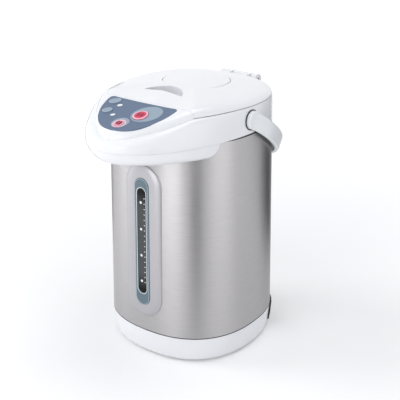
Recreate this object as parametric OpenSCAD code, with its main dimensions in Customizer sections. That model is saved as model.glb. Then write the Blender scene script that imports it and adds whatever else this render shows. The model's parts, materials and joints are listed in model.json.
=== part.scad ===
/* [Body] */
// Width and depth of the steel body at its foot
body_w = 176.2; // [170:0.2:188]
// Width and depth of the steel body at its top
top_w = 168.4; // [167:0.2:176]
// Squareness of the body's plan, 2 is round
plan_n = 2.37; // [2.3:0.01:2.8]
// Height of the white foot skirt
skirt_h = 30.8; // [28:0.2:40]
// Height of the steel shell
shell_h = 226; // [222:1:260]
// Sheet of the steel shell
shell_t = 0.8; // [0.6:0.1:1]
// Wall of the moulded housings
wall_t = 2.6; // [2:0.1:2.8]
// Wall of the lid
lid_wall = 2.4; // [2:0.1:2.6]

/* [Head] */
// Height of the collar, from the steel to the lid seam
collar_h = 28.2; // [28:0.2:34]
// How far the beak reaches in front of the axis
beak_reach = 144.5; // [140:0.5:150]
// How far the beak hangs below the collar
beak_drop = 16.8; // [15:0.2:20]
// Crown of the lid above the seam
crown_h = 14.6; // [14:0.2:18]
// Slope of the panel facet, rise over run
facet_slope = 0.3; // [0.27:0.01:0.33]
// Height of the facet's back edge above the lid seam
facet_h = 7; // [6.5:0.1:8]
// Distance of the lid's front edge from the axis
lid_front = 77; // [76.5:0.5:78]

/* [Pot] */
// Inner radius of the steel liner
liner_r = 72; // [68:0.5:72]
// Height of the liner's floor above the steel shell's foot
liner_rise = 32.7; // [32:0.1:38]
// Sheet of the liner
liner_t = 0.8; // [0.6:0.1:1]
// Liner axis behind the body axis
pot_y = 7; // [6.5:0.5:7.5]
// Inner radius of the neck ring
neck_r = 66; // [64:0.5:66]

/* [Gauge] */
// Width of the raised gauge panel
gauge_w = 47.4; // [44:0.2:50]
// Height of the gauge panel
gauge_h = 177; // [174:1:180]
// Width of the gauge bezel
bezel_w = 19.4; // [18:0.2:20]
// Silver left above the gauge bezel
bezel_edge = 14.6; // [13:0.2:16]
// Width of the gauge window
window_w = 11.4; // [10:0.2:12]
// Bezel left above the gauge window
window_edge = 11.4; // [10:0.2:13]
// Bore of the sight tube
tube_bore = 6; // [5:0.2:6.4]
// Wall of the sight tube
tube_t = 1; // [0.8:0.1:1.2]

/* [Panel] */
// Width of the control panel across its tips
panel_w = 85; // [80:0.5:86]
// Room from the control panel's front to the tip of the beak
panel_edge = 16.5; // [15:0.5:18]
// Thickness of the control panel
panel_t = 1.6; // [1.2:0.1:2]
// Radius of the dispense button
dispense_r = 8.2; // [7:0.1:8.6]
// Radius of the unlock button
unlock_r = 4.8; // [4:0.1:5]
// Travel of each button
press = 0.8; // [0.4:0.1:0.9]

/* [Lid] */
// Radius of the round press plate
plate_r = 36.8; // [34:0.2:37]
// Travel of the press plate
plate_travel = 13; // [10:0.5:13]
// Radius of the finger recess
recess_r = 26; // [24:0.5:26]
// Radius of the hinge barrel
hinge_r = 6.5; // [6:0.1:6.8]
// Radius of the hinge pin
hinge_pin_r = 2; // [1.6:0.1:2.4]

/* [Handle] */
// Room between the steel body's side and the bail
bail_room = 1.65; // [1.4:0.05:4]
// Reach of the bail from its pivots, in its own plane
bail_reach = 121.9; // [120:0.1:126]
// Slope of the folded bail
bail_slope = 33.2; // [31:0.2:35]
// Width of the bail's band
bail_w = 18; // [14:0.5:19]
// Thickness of the bail's band
bail_t = 5.5; // [4.5:0.1:5.6]
// Height of the bail's pivots under the seam
pivot_drop = 14; // [13.6:0.2:15]
// Radius of the bail's pivot pins
pivot_r = 5; // [4:0.1:5.4]

/* [Pump] */
// Radius of the pump casing
pump_r = 20; // [19:0.5:21]
// Height of the pump casing
pump_h = 22; // [21:0.5:23]
// Number of impeller vanes
vanes = 6; // [4:1:8]
// Wall of the hoses
hose_t = 1.2; // [1:0.1:1.4]

/* [Fits] */
// Radial clearance of pins and shafts
fit = 0.05; // [0.02:0.01:0.09]
// Clearance between moving or curved faces
gap = 0.3; // [0.2:0.05:0.4]

/* [Hidden] */
$fn = 48;
big = 400;
sliver = 0.01;

white = [0.93, 0.94, 0.96];
pale = [0.86, 0.88, 0.91];
steel = [0.72, 0.71, 0.72];
silver = [0.8, 0.79, 0.81];
slate = [0.42, 0.48, 0.58];
slate_pale = [0.6, 0.66, 0.73];
black = [0.07, 0.07, 0.08];
red = [0.86, 0.2, 0.27];
copper = [0.75, 0.55, 0.3];
board_green = [0.13, 0.36, 0.24];
clear = [0.75, 0.82, 0.86, 0.5];

// Rings round the body are points of its plan at equal turns
sides = 56;
turns = [for (i = [0:sides - 1]) 360 * i / sides];

shell_z = skirt_h;
shell_top = skirt_h + shell_h;
seam_z = shell_top + collar_h;
crown_z = seam_z + crown_h;
foot_half = body_w / 2;
top_half = top_w / 2;

function mix(a, b, f) = a + (b - a) * f;
function power(v, e) = sign(v) * pow(abs(v), e);
function clamp01(v) = min(1, max(0, v));

// A point of a rounded square whose front half may be longer and more pointed
function oval(t, side, front, front_n) =
  let (n = sin(t) < 0 ? front_n : plan_n, d = sin(t) < 0 ? front : side)
  [side * power(cos(t), 2 / n), d * power(sin(t), 2 / n)];
function ring(z, side, front, front_n) =
  [for (t = turns) let (p = oval(t, side, front, front_n)) [p.x, p.y, z]];
function body_ring(z, half) = ring(z, half, half, plan_n);
function body_half(z) = mix(foot_half, top_half, (z - shell_z) / shell_h);

// Solid through rings of equal count, capped at its ends or closed on itself
module skin(rings, closed = false) {
  m = len(rings);
  n = len(rings[0]);
  bands = [
    for (i = [0:m - (closed ? 1 : 2)]) for (j = [0:n - 1])
      let (k = (i + 1) % m, l = (j + 1) % n)
      each [[k * n + l, i * n + l, i * n + j], [k * n + j, k * n + l, i * n + j]]
  ];
  ends = closed ? [] : [
    [for (j = [0:n - 1]) j],
    [for (j = [n - 1:-1:0]) (m - 1) * n + j]
  ];
  polyhedron([for (r = rings) each r], concat(bands, ends));
}

// A one-piece moulding: its cuts stay in one skin
module moulded() {
  resize([0, 0, 0]) children();
}

// The steel body's outline, grown or shrunk all round
module body_solid(grow, low = shell_z, high = shell_top) {
  skin([body_ring(low, body_half(low) + grow), body_ring(high, body_half(high) + grow)]);
}

module stadium(length, width) {
  square([length - width, width], center = true);
  for (s = [-1, 1]) translate([s * (length - width) / 2, 0]) circle(width / 2);
}

module tube(r_out, r_in, h) {
  difference() {
    cylinder(r = r_out, h = h);
    translate([0, 0, -1]) cylinder(r = r_in, h = h + 2);
  }
}

// A round bar along X between two places, on either side
module bar_x(r, x0, x1) {
  translate([min(x0, x1), 0, 0]) rotate([0, 90, 0]) cylinder(r = r, h = abs(x1 - x0));
}

// Base

skirt_lift = 1.2;
// Heights and insets of the skirt's rounded foot
skirt_levels = [
  [skirt_lift, 6.6], [skirt_lift + 0.9, 4.9], [skirt_lift + 2.8, 3.5],
  [skirt_lift + 6.8, 2.3], [skirt_lift + 14.8, 1.1]
];
cover_t = 2;
cover_z = 3.2;
cover_top = cover_z + cover_t;
cover_half = foot_half - 8.9;
ledge_w = 2.7;
ledge_t = 2;
lip_h = 5;
lip_inset = shell_t + gap;
foot_r = cover_half - 5.2;
foot_w = 8;

module skirt_solid(grow) {
  skin(concat(
    [for (l = skirt_levels) body_ring(l[0], foot_half - l[1] + grow)],
    [body_ring(shell_z, foot_half + grow)]
  ));
}

inlet_low = 4;
inlet_high = skirt_h - 0.5;
inlet_y = foot_half - 43;
inlet_round = 12;
inlet_proud = 2;
socket_w = 32;
socket_h = 22;
socket_z = 16.5;
socket_wall = 3;
socket_back = foot_half - 20;
pin_len = 12;

module socket_box(grow, y1) {
  translate([-socket_w / 2 - grow, socket_back - grow, socket_z - socket_h / 2 - grow])
    cube([socket_w + 2 * grow, y1 - socket_back + grow, socket_h + 2 * grow]);
}

module base_skirt() {
  color(white) moulded() difference() {
    skin(concat(
      [for (l = skirt_levels) body_ring(l[0], foot_half - l[1])],
      [
        body_ring(shell_z, foot_half),
        body_ring(shell_z, foot_half - lip_inset),
        body_ring(shell_z + lip_h, foot_half - lip_inset - 0.2),
        body_ring(shell_z + lip_h, foot_half - lip_inset - wall_t),
        body_ring(shell_z - 12, foot_half - wall_t - 2.1),
        body_ring(cover_top + ledge_t, foot_half - wall_t - 4),
        body_ring(cover_top + ledge_t, cover_half - ledge_w),
        body_ring(cover_top, cover_half - ledge_w),
        body_ring(cover_top, cover_half + gap),
        body_ring(skirt_lift, cover_half + gap)
      ]
    ), closed = true);
    socket_box(gap, big);
  }
}

// Screw columns stand on the bottom cover round the pump
column_r = 5;
column_ring = 56;
screw_r = 1.6;
module at_columns() {
  translate([0, pot_y, 0]) for (a = [45:90:315]) rotate([0, 0, a])
    translate([column_ring, 0, 0]) children();
}

board_w = 66;
board_d = 38;
board_y = 45;
board_z = 22;
board_t = 1.6;
post_r = 3;
post_inset = 4;
board_screw_r = 1.1;
module at_board_posts() {
  for (x = [-1, 1], y = [-1, 1])
    translate([x * (board_w / 2 - post_inset), board_y + y * (board_d / 2 - post_inset), 0])
      children();
}

vent_l = 34;
vent_w = 3;
vent_pitch = 8;
module bottom_cover() {
  color(pale) {
    difference() {
      translate([0, 0, cover_z]) linear_extrude(cover_t)
        polygon([for (t = turns) oval(t, cover_half, cover_half, plan_n)]);
      at_columns() cylinder(r = screw_r, h = cover_top + 1);
      for (i = [-3:3]) translate([0, i * vent_pitch, cover_z - 1])
        linear_extrude(cover_t + 2) stadium(vent_l, vent_w);
    }
    difference() {
      at_board_posts() translate([0, 0, cover_top])
        cylinder(r = post_r, h = board_z - cover_top);
      at_board_posts() translate([0, 0, board_z - 8]) cylinder(r = board_screw_r, h = 10);
    }
  }
}

module foot_ring() {
  color(black) tube(foot_r, foot_r - foot_w, cover_z);
}

screw_head_r = 3;
screw_head_h = 1.8;
bottom_screw_len = 14;
// A screw that points up, the seat of its head at z = 0
module screw(length, shank_r) {
  translate([0, 0, -screw_head_h]) cylinder(r = screw_head_r, h = screw_head_h);
  translate([0, 0, -sliver]) cylinder(r = shank_r, h = length);
}

module bottom_screws() {
  color(steel) at_columns() translate([0, 0, cover_z]) screw(bottom_screw_len, screw_r - fit);
}

module inlet_panel() {
  color(black) moulded() difference() {
    union() {
      intersection() {
        difference() {
          skirt_solid(inlet_proud);
          skirt_solid(fit);
        }
        translate([-big / 2, 0, 0]) rotate([90, 0, 90]) linear_extrude(big) hull() {
          for (z = [inlet_low + inlet_round, inlet_high - inlet_round])
            translate([inlet_y + inlet_round, z]) circle(inlet_round);
          translate([big / 4, inlet_low]) square([1, inlet_high - inlet_low]);
        }
      }
      socket_box(0, foot_half - 2);
    }
    translate([-socket_w / 2 + socket_wall, socket_back + socket_wall,
        socket_z - socket_h / 2 + socket_wall])
      cube([socket_w - 2 * socket_wall, big, socket_h - 2 * socket_wall]);
  }
}

module inlet_pins() {
  color(copper) for (p = [[-7, -2], [0, 2], [7, -2]])
    translate([p.x - 1, socket_back + socket_wall, socket_z + p.y - 2])
      cube([2, pin_len, 4]);
}

module power_board() {
  color(board_green) difference() {
    translate([-board_w / 2, board_y - board_d / 2, board_z]) cube([board_w, board_d, board_t]);
    at_board_posts() translate([0, 0, board_z - 1]) cylinder(r = board_screw_r, h = 4);
  }
  color(black) translate([0, board_y, board_z + board_t]) {
    translate([-24, -10, 0]) cube([20, 18, 16]);
    translate([0, -15, 0]) cube([14, 12, 10]);
    translate([0, 4, 0]) cube([18, 6, 8]);
    translate([20, -8, 0]) cylinder(r = 4, h = 13);
  }
}

// Pot

liner_top = shell_top + 5.2;
liner_floor = shell_z + liner_rise;
liner_low = liner_floor - liner_t;
liner_curve = 8;
flange_w = 2.2;
outlet_y = pot_y - 38;
outlet_bore = 11;
pump_neck_r = 8;
heater_t = 4;
heater_r = 62;
heater_hole = 48;
heater_low = liner_low - heater_t;
chassis_t = 2.5;
chassis_r = liner_r + 2;
chassis_low = heater_low - chassis_t;

// Half section of the liner's room or of its outside, with a rounded foot
module liner_half(r, low) {
  translate([0, low]) square([r - liner_curve, liner_curve + 1]);
  intersection() {
    translate([r - liner_curve, low + liner_curve]) circle(liner_curve);
    translate([0, low]) square([big, liner_curve + 1]);
  }
  translate([0, low + liner_curve]) square([r, liner_top - low - liner_curve]);
}

module liner() {
  color(steel) difference() {
    translate([0, pot_y, 0]) rotate_extrude() {
      difference() {
        liner_half(liner_r + liner_t, liner_low);
        translate([0, sliver]) liner_half(liner_r, liner_floor);
      }
      translate([liner_r, liner_top - liner_t]) square([flange_w, liner_t]);
    }
    translate([0, outlet_y, liner_low - 1]) cylinder(r = outlet_bore / 2, h = 4);
  }
}

module heater_plate() {
  color("dimgray") difference() {
    translate([0, pot_y, heater_low]) tube(heater_r, heater_hole, heater_t);
    translate([0, outlet_y, heater_low - 1]) cylinder(r = pump_neck_r + 1, h = heater_t + 2);
  }
}

module thermostat() {
  color(black) translate([0, pot_y, liner_low]) {
    translate([0, 0, -3]) cylinder(r = 5, h = 3);
    translate([0, 0, -9]) cylinder(r = 9, h = 6 + sliver);
    for (x = [-6, 6]) translate([x - 0.4, -2.5, -14]) cube([0.8, 5, 5 + sliver]);
  }
}

module chassis_frame() {
  color(pale) difference() {
    union() {
      translate([0, pot_y, chassis_low]) tube(chassis_r, heater_hole, chassis_t);
      at_columns() translate([0, 0, cover_top])
        cylinder(r = column_r, h = chassis_low - cover_top + sliver);
    }
    at_columns() translate([0, 0, cover_top - 1]) cylinder(r = screw_r, h = 20);
  }
}

// Pump

pump_top = liner_low - 13;
pump_low = pump_top - pump_h;
chamber_h = 9;
magnet_h = 9;
chamber_z = pump_top - 2 - chamber_h;
chamber_r = pump_r - 2.5;
nipple_z = chamber_z + chamber_h / 2;
nipple_len = 12;
shaft_r = 1.5;
tube_r = tube_bore / 2 + tube_t;
hose_bore_r = tube_r + 0.1;
hose_r = hose_bore_r + hose_t;
ear_x = pump_r + 14;
ear_y = outlet_y - 13;
ear_t = 6;
motor_h = pump_low - cover_top - 2.5;
motor_r = 14;
motor_flange_t = 2;

module pump_casing() {
  color(pale) difference() {
    union() {
      translate([0, outlet_y, pump_low]) cylinder(r = pump_r, h = pump_h);
      translate([0, outlet_y, pump_top - 1])
        cylinder(r = pump_neck_r, h = liner_low - pump_top + 1);
      translate([0, outlet_y, nipple_z]) rotate([90, 0, 0])
        cylinder(r = tube_r, h = pump_r + nipple_len);
      for (s = [-1, 1]) {
        translate([s * ear_x, ear_y, pump_top - ear_t])
          cylinder(r = 4, h = chassis_low - pump_top + ear_t);
        translate([min(s * 12, s * ear_x), ear_y - 2, pump_top - ear_t])
          cube([ear_x - 12, 4, ear_t]);
      }
    }
    translate([0, outlet_y, chamber_z]) cylinder(r = chamber_r, h = chamber_h);
    translate([0, outlet_y, pump_low - 1]) cylinder(r = pump_r - 1.5, h = magnet_h + 1);
    translate([0, outlet_y, pump_top - 3]) cylinder(r = outlet_bore / 2, h = 30);
    translate([0, outlet_y - pump_r / 2, nipple_z]) rotate([90, 0, 0])
      cylinder(r = tube_bore / 2, h = big);
    translate([0, outlet_y, chamber_z - 1.5]) cylinder(r = shaft_r + fit, h = 3);
  }
}

module impeller_pin() {
  color(steel) translate([0, outlet_y, chamber_z - 1.5]) cylinder(r = shaft_r, h = chamber_h + 1);
}

module impeller() {
  color(white) translate([0, outlet_y, chamber_z + gap]) difference() {
    union() {
      cylinder(r = chamber_r - 2, h = 2);
      cylinder(r = 4, h = 7);
      for (i = [0:vanes - 1]) rotate([0, 0, i * 360 / vanes]) translate([3, -0.7, 1.5])
        cube([chamber_r - 5.5, 1.4, 5.5]);
    }
    translate([0, 0, -1]) cylinder(r = shaft_r + fit, h = 12);
  }
}

module pump_motor() {
  color("silver") translate([0, outlet_y, 0]) difference() {
    union() {
      translate([0, 0, pump_low - motor_flange_t]) cylinder(r = pump_r, h = motor_flange_t);
      translate([0, 0, pump_low - motor_h]) cylinder(r = motor_r, h = motor_h - 1);
    }
    translate([0, 0, pump_low - 10]) cylinder(r = shaft_r + fit, h = 12);
  }
}

module drive_magnet() {
  color("dimgray") translate([0, outlet_y, pump_low]) {
    translate([0, 0, 1]) cylinder(r = pump_r - 5, h = magnet_h - 2);
    translate([0, 0, gap - 10]) cylinder(r = shaft_r, h = 12);
  }
}

// A quarter bend of a hose, from local X round to local Y
module hose_bend(r_bend) {
  rotate_extrude(angle = 90) translate([r_bend, 0]) difference() {
    circle(hose_r);
    circle(hose_bore_r);
  }
}

bend_r = 10;
overlap = 8;
tube_y = -(top_half - lip_inset - wall_t - hose_r - 1.2);
tube_low = nipple_z + bend_r + 0.5;
tube_top = shell_top - 7.8;
run_z = shell_top + 7.4;
nozzle_y = -(beak_reach - 32.5);

module riser_hose() {
  color(black) {
    translate([0, outlet_y - pump_r - 1, nipple_z]) rotate([90, 0, 0])
      tube(hose_r, hose_bore_r, outlet_y - pump_r - 1 - tube_y - bend_r);
    translate([0, tube_y + bend_r, nipple_z + bend_r]) rotate([-90, 0, 0]) rotate([0, 90, 0])
      hose_bend(bend_r);
    translate([0, tube_y, nipple_z + bend_r])
      tube(hose_r, hose_bore_r, channel_low - gap - nipple_z - bend_r);
  }
}

module sight_tube() {
  color(clear) translate([0, tube_y, tube_low]) tube(tube_r, tube_bore / 2, tube_top - tube_low);
}

// Steel shell and gauge

gauge_low = 18.8;
bezel_rise = 13.8;
window_rise = 14.6;
gauge_proud = 2.6;
bezel_h = gauge_h - bezel_rise - bezel_edge;
window_h = bezel_h - window_rise - window_edge;
slot_w = 32;
slot_margin = 10;
lean = atan((foot_half - top_half) / shell_h);
window_z = gauge_low + bezel_rise + window_rise;
channel_low = max(shell_z + gauge_low + slot_margin, nipple_z + bend_r + 6 + gap);
channel_high = shell_z + gauge_low + gauge_h - slot_margin;

// Frame of the gauge: on the shell's front, z up the shell, y inward
module on_front() {
  translate([0, -foot_half, shell_z]) rotate([-lean, 0, 0]) children();
}

// An upright slot of a width and height, between two depths
module upright(z0, width, height, y0, y1) {
  translate([0, y1, z0 + height / 2]) rotate([90, 90, 0]) linear_extrude(y1 - y0)
    stadium(height, width);
}

module outer_shell() {
  color(steel) moulded() difference() {
    skin([
      body_ring(shell_z, foot_half), body_ring(shell_top, top_half),
      body_ring(shell_top, top_half - shell_t), body_ring(shell_z, foot_half - shell_t)
    ], closed = true);
    translate([-slot_w / 2, -big, channel_low - 2 * gap])
      cube([slot_w, big, channel_high - channel_low + 4 * gap]);
  }
}

bezel_t = 2.4;
pocket_y = -0.6;
flange_lip = 2;
module gauge_panel() {
  color(silver) moulded() difference() {
    hull() {
      intersection() {
        body_solid(1);
        on_front() upright(gauge_low, gauge_w, gauge_h, -10, 10);
      }
      intersection() {
        body_solid(gauge_proud);
        on_front() upright(gauge_low + 4, gauge_w - 8, gauge_h - 8, -10, 10);
      }
    }
    body_solid(fit, shell_z - 1, shell_top + 1);
    on_front() upright(gauge_low + bezel_rise - fit, bezel_w + 2 * fit, bezel_h + 2 * fit,
      -20, pocket_y);
    on_front() upright(window_z - flange_lip - gap, window_w + 2 * (flange_lip + gap),
      window_h + 2 * (flange_lip + gap), -20, 20);
  }
}

module gauge_bezel() {
  color(slate) on_front() difference() {
    upright(gauge_low + bezel_rise, bezel_w, bezel_h, pocket_y - bezel_t, pocket_y);
    upright(window_z, window_w, window_h, -20, 20);
  }
}

window_t = 1.2;
module gauge_window() {
  color(clear) on_front() {
    upright(window_z + fit, window_w - 2 * fit, window_h - 2 * fit, pocket_y - 2,
      pocket_y + sliver);
    upright(window_z - flange_lip, window_w + 2 * flange_lip, window_h + 2 * flange_lip,
      pocket_y, pocket_y + window_t);
  }
}

mark_t = 0.2;
mark_pitch = window_h / 20;
dot_pitch = window_h / 4;
dot_low = 0.47 * dot_pitch;
tick_low = 2.12 * mark_pitch;
module level_marks() {
  color("white") on_front() translate([0, pocket_y + window_t + mark_t, window_z]) {
    for (i = [0:3]) translate([-1, 0, dot_low + i * dot_pitch]) rotate([90, 0, 0])
      cylinder(r = 1.3, h = mark_t);
    for (i = [0:16]) translate([2.6, -mark_t, tick_low + i * mark_pitch]) cube([2, mark_t, 1]);
  }
}

channel_wall = 1.2;
channel_half = 11;
channel_inner = 9.6;
channel_back = tube_y + tube_r + 1.2;
module gauge_channel() {
  h = channel_high - channel_low;
  color(black) difference() {
    translate([-channel_half, -foot_half, channel_low])
      cube([2 * channel_half, foot_half + channel_back + channel_wall, h]);
    translate([-channel_inner, -foot_half - 1, channel_low + channel_wall])
      cube([2 * channel_inner, foot_half + 1 + channel_back, h - 2 * channel_wall]);
    translate([0, tube_y, 0]) cylinder(r = tube_r + fit, h = big);
    on_front() translate([-big / 2, 2 * gap - big, -big / 2]) cube([big, big, 2 * big]);
  }
}

// Head

head_half = top_half + 0.2;
rim_half = top_half - 0.8;
rim_front = beak_reach - 11.8;
rim_n = 1.64;
belt_n = 1.95;
facet_y = -lid_front - 1;
crown_y = 10;
apron_z = shell_top - beak_drop;
belt_z = shell_top + 5.2;
nose_z = rim_z(-rim_front);

// Rise, side inset, reach inset and sharpness of the beak's levels
apron_levels = [
  [0, 4.4, 17.5, 1.7], [1, 2.4, 12.5, 1.72], [4, 0.8, 6.5, 1.78], [9.5, 0.2, 2, 1.86]
];
tray_t = 2.2;
tray_levels = [
  [tray_t, 4, 12.2, 1.74], [5, 2.9, 8.1, 1.8], [9.5, 2.4, 4.4, 1.86], [24, 2.2, 2.4, 1.94]
];
shoulder_steps = [0.2, 0.4, 0.6, 0.8, 1];
crown_steps = [0.995, 0.98, 0.95, 0.9, 0.82, 0.7, 0.55, 0.4, 0.2, 0.02];

// Height of the facet, and of the rim that runs under it
function facet_z(y) = seam_z + facet_h + facet_slope * (y - facet_y);
function rim_z(y) = min(seam_z, facet_z(y) - facet_h);

function level_ring(l) =
  ring(apron_z + l[0], head_half - l[1], beak_reach - l[2], l[3]);
// Shoulder from the widest level to the rim, both moved in by a wall
function shoulder_ring(f, wall) = [
  for (t = turns) let (
    w = oval(t, head_half - 0.1 - wall, beak_reach - wall, belt_n),
    r = oval(t, rim_half - wall, rim_front - 1.6 * wall, rim_n),
    g = 1 - cos(90 * f), h = sin(90 * f))
  [mix(w.x, r.x, g), mix(w.y, r.y, g), belt_z + (rim_z(r.y) - wall / 2 - belt_z) * h]
];
// Crown ring at a share of the rim, flattened by the facet
function crown_ring(share, wall) = [
  for (t = turns) let (
    r = oval(t, rim_half - wall, rim_front - 1.6 * wall, rim_n),
    x = r.x * share, y = crown_y + (r.y - crown_y) * share, z0 = rim_z(r.y),
    nose = (seam_z - z0) / (seam_z - nose_z),
    edge = (6 + 4 * clamp01((-20 - r.y) / 60)) * crown_h / 14.6,
    z = z0 + edge * sqrt(1 - pow(share, 16 + 6 * nose))
      + (crown_z - z0 - edge) * (1 - pow(share, 1.3 + 1.05 * nose)))
  [x, y, min(z, facet_z(y)) - wall]
];

module head_solid() {
  skin(concat(
    [for (l = apron_levels) level_ring(l)],
    [ring(shell_top - 0.6, head_half, beak_reach, 1.94)],
    [ring(belt_z, head_half - 0.1, beak_reach, belt_n)],
    [for (f = shoulder_steps) shoulder_ring(f, 0)],
    [for (s = crown_steps) crown_ring(s, 0)]
  ));
}

module head_inner(wall) {
  skin(concat(
    [ring(shell_top - lip_h - 2, head_half - wall, beak_reach - wall, 1.94)],
    [ring(belt_z, head_half - 0.1 - wall, beak_reach - wall, belt_n)],
    [for (f = [0.4, 0.7, 1]) shoulder_ring(f, wall)],
    [for (s = [0.98, 0.9, 0.82, 0.7, 0.55, 0.4, 0.2, 0.02]) crown_ring(s, wall)]
  ));
}

// Frame of the facet: z is its outward normal, y runs up its slope
facet_tilt = atan(facet_slope);
module on_facet() {
  translate([0, facet_y, seam_z + facet_h]) rotate([facet_tilt, 0, 0]) children();
}

panel_half = panel_w / 2;
panel_len = beak_reach - lid_front - panel_edge;
panel_n = 1.95;
panel_back = -1;
function panel_outline() = concat(
  [for (t = [180:7.5:360]) [
    panel_half * power(cos(t), 2 / panel_n),
    panel_back - panel_len * pow(abs(sin(t)), 2 / panel_n)
  ]],
  [for (f = [0.75, 0.5, 0.25, 0, -0.25, -0.5, -0.75])
    [panel_half * f, panel_back - 0.9 * (1 - f * f)]]
);

// Places and half sizes of keys, pads and lenses on the facet
dispense_at = [0.153 * panel_w, -0.47 * panel_len];
unlock_at = [0.012 * panel_w, -0.853 * panel_len];
reboil_at = [-0.382 * panel_w, -0.186 * panel_len];
timer_at = [-0.335 * panel_w, -0.53 * panel_len];
pad_a = [0.206 * panel_w, -0.382 * panel_len, 1.95 * dispense_r, 1.46 * dispense_r, 32];
pad_b = [0.018 * panel_w, -0.804 * panel_len, 1.92 * unlock_r, 1.58 * unlock_r, 20];
reboil_size = [0.83 * dispense_r, 0.56 * dispense_r];
timer_size = [0.68 * dispense_r, 0.51 * dispense_r];
lens_a = [-0.259 * panel_w, -0.284 * panel_len, 3, 1.9];
lens_b = [-0.2 * panel_w, -0.627 * panel_len, 2.7, 1.8];
boss_at = [for (b = [[0.388, 0.314], [-0.165, 0.157], [-0.094, 0.608], [0.259, 0.765]])
  [b.x * panel_w, -b.y * panel_len]];
key_turn = 22;
key_floor = 2;
key_flange = 1.2;
flange_t = 1;
key_deep = panel_t + key_floor;
board_depth = key_deep + 6.4;
switch_h = 2.4;
plunger_h = switch_h + 0.5;
stem_end = -board_depth + plunger_h + press + 0.1;
stem_r = 2;

module ellipse(a, b) {
  polygon([for (t = [0:15:345]) [a * cos(t), b * sin(t)]]);
}

module at_key(p) {
  translate([p.x, p.y, 0]) rotate([0, 0, key_turn]) children();
}

// Stem of a key, from its flange down to the switch
module key_stem() {
  translate([0, 0, stem_end]) cylinder(r = stem_r, h = -key_deep - gap - stem_end);
}

// A round key: cap, retaining flange under the wall, stem
module round_key(r, rise) {
  translate([0, 0, -key_deep - gap]) cylinder(r = r, h = key_deep + gap + rise);
  translate([0, 0, -key_deep - gap - flange_t])
    cylinder(r = r + key_flange, h = flange_t + gap - fit);
  key_stem();
}

module oval_key(size, rise) {
  translate([0, 0, -key_deep - gap]) linear_extrude(key_deep + gap + rise)
    ellipse(size.x, size.y);
  translate([0, 0, -key_deep - gap - flange_t]) linear_extrude(flange_t + gap - fit)
    ellipse(size.x + key_flange, size.y + key_flange);
  key_stem();
}

// Holes for the keys and for the lenses, with a clearance
module key_holes(grow) {
  translate([dispense_at.x, dispense_at.y, -20]) cylinder(r = dispense_r + grow, h = 40);
  translate([unlock_at.x, unlock_at.y, -20]) cylinder(r = unlock_r + grow, h = 40);
  at_key(reboil_at) translate([0, 0, -20]) linear_extrude(40)
    ellipse(reboil_size.x + grow, reboil_size.y + grow);
  at_key(timer_at) translate([0, 0, -20]) linear_extrude(40)
    ellipse(timer_size.x + grow, timer_size.y + grow);
}
module lens_holes(grow) {
  for (l = [lens_a, lens_b]) at_key(l) translate([0, 0, -20]) linear_extrude(40)
    ellipse(l[2] + grow, l[3] + grow);
}

// Room under the wall for the keys' flanges and their travel
module key_rooms() {
  intersection() {
    key_holes(key_flange + gap);
    translate([-big / 2, -big / 2, -key_deep - flange_t - press - 2 * gap])
      cube([big, big, key_deep]);
  }
}

// Upper housing

deck_t = 2.4;
neck_wall = 2.4;
neck_hole = neck_r + neck_wall + gap;
hinge_drop = 2;
hinge_y = top_half + 9.8;
hinge_z = seam_z - hinge_drop;
pad_y = top_half + 0.5;
pad_half = 26;
pad_low = shell_top + 5;
pad_high = seam_z - 3;
pivot_y = -8;
pivot_z = seam_z - pivot_drop;
hub_r = 9.8;
pocket_x = top_half - 1;
bush_r = 6.5;
bush_flange_r = 8.2;
bush_in = top_half - 6.2;
keeper_y = -(lid_front - 2.8);
keeper_half = 10;
keeper_back = keeper_y + 10.5;
step_t = 2.6;
skirt_ring_h = 15;
hinge_screw_x = 21;
hinge_screw_z = pad_low + 6;
front_ring_y = -30;
hose_room = 1.2;

module panel_bosses(h0, h1, r) {
  for (p = boss_at) translate([p.x, p.y, h0]) cylinder(r = r, h = h1 - h0);
}

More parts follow.
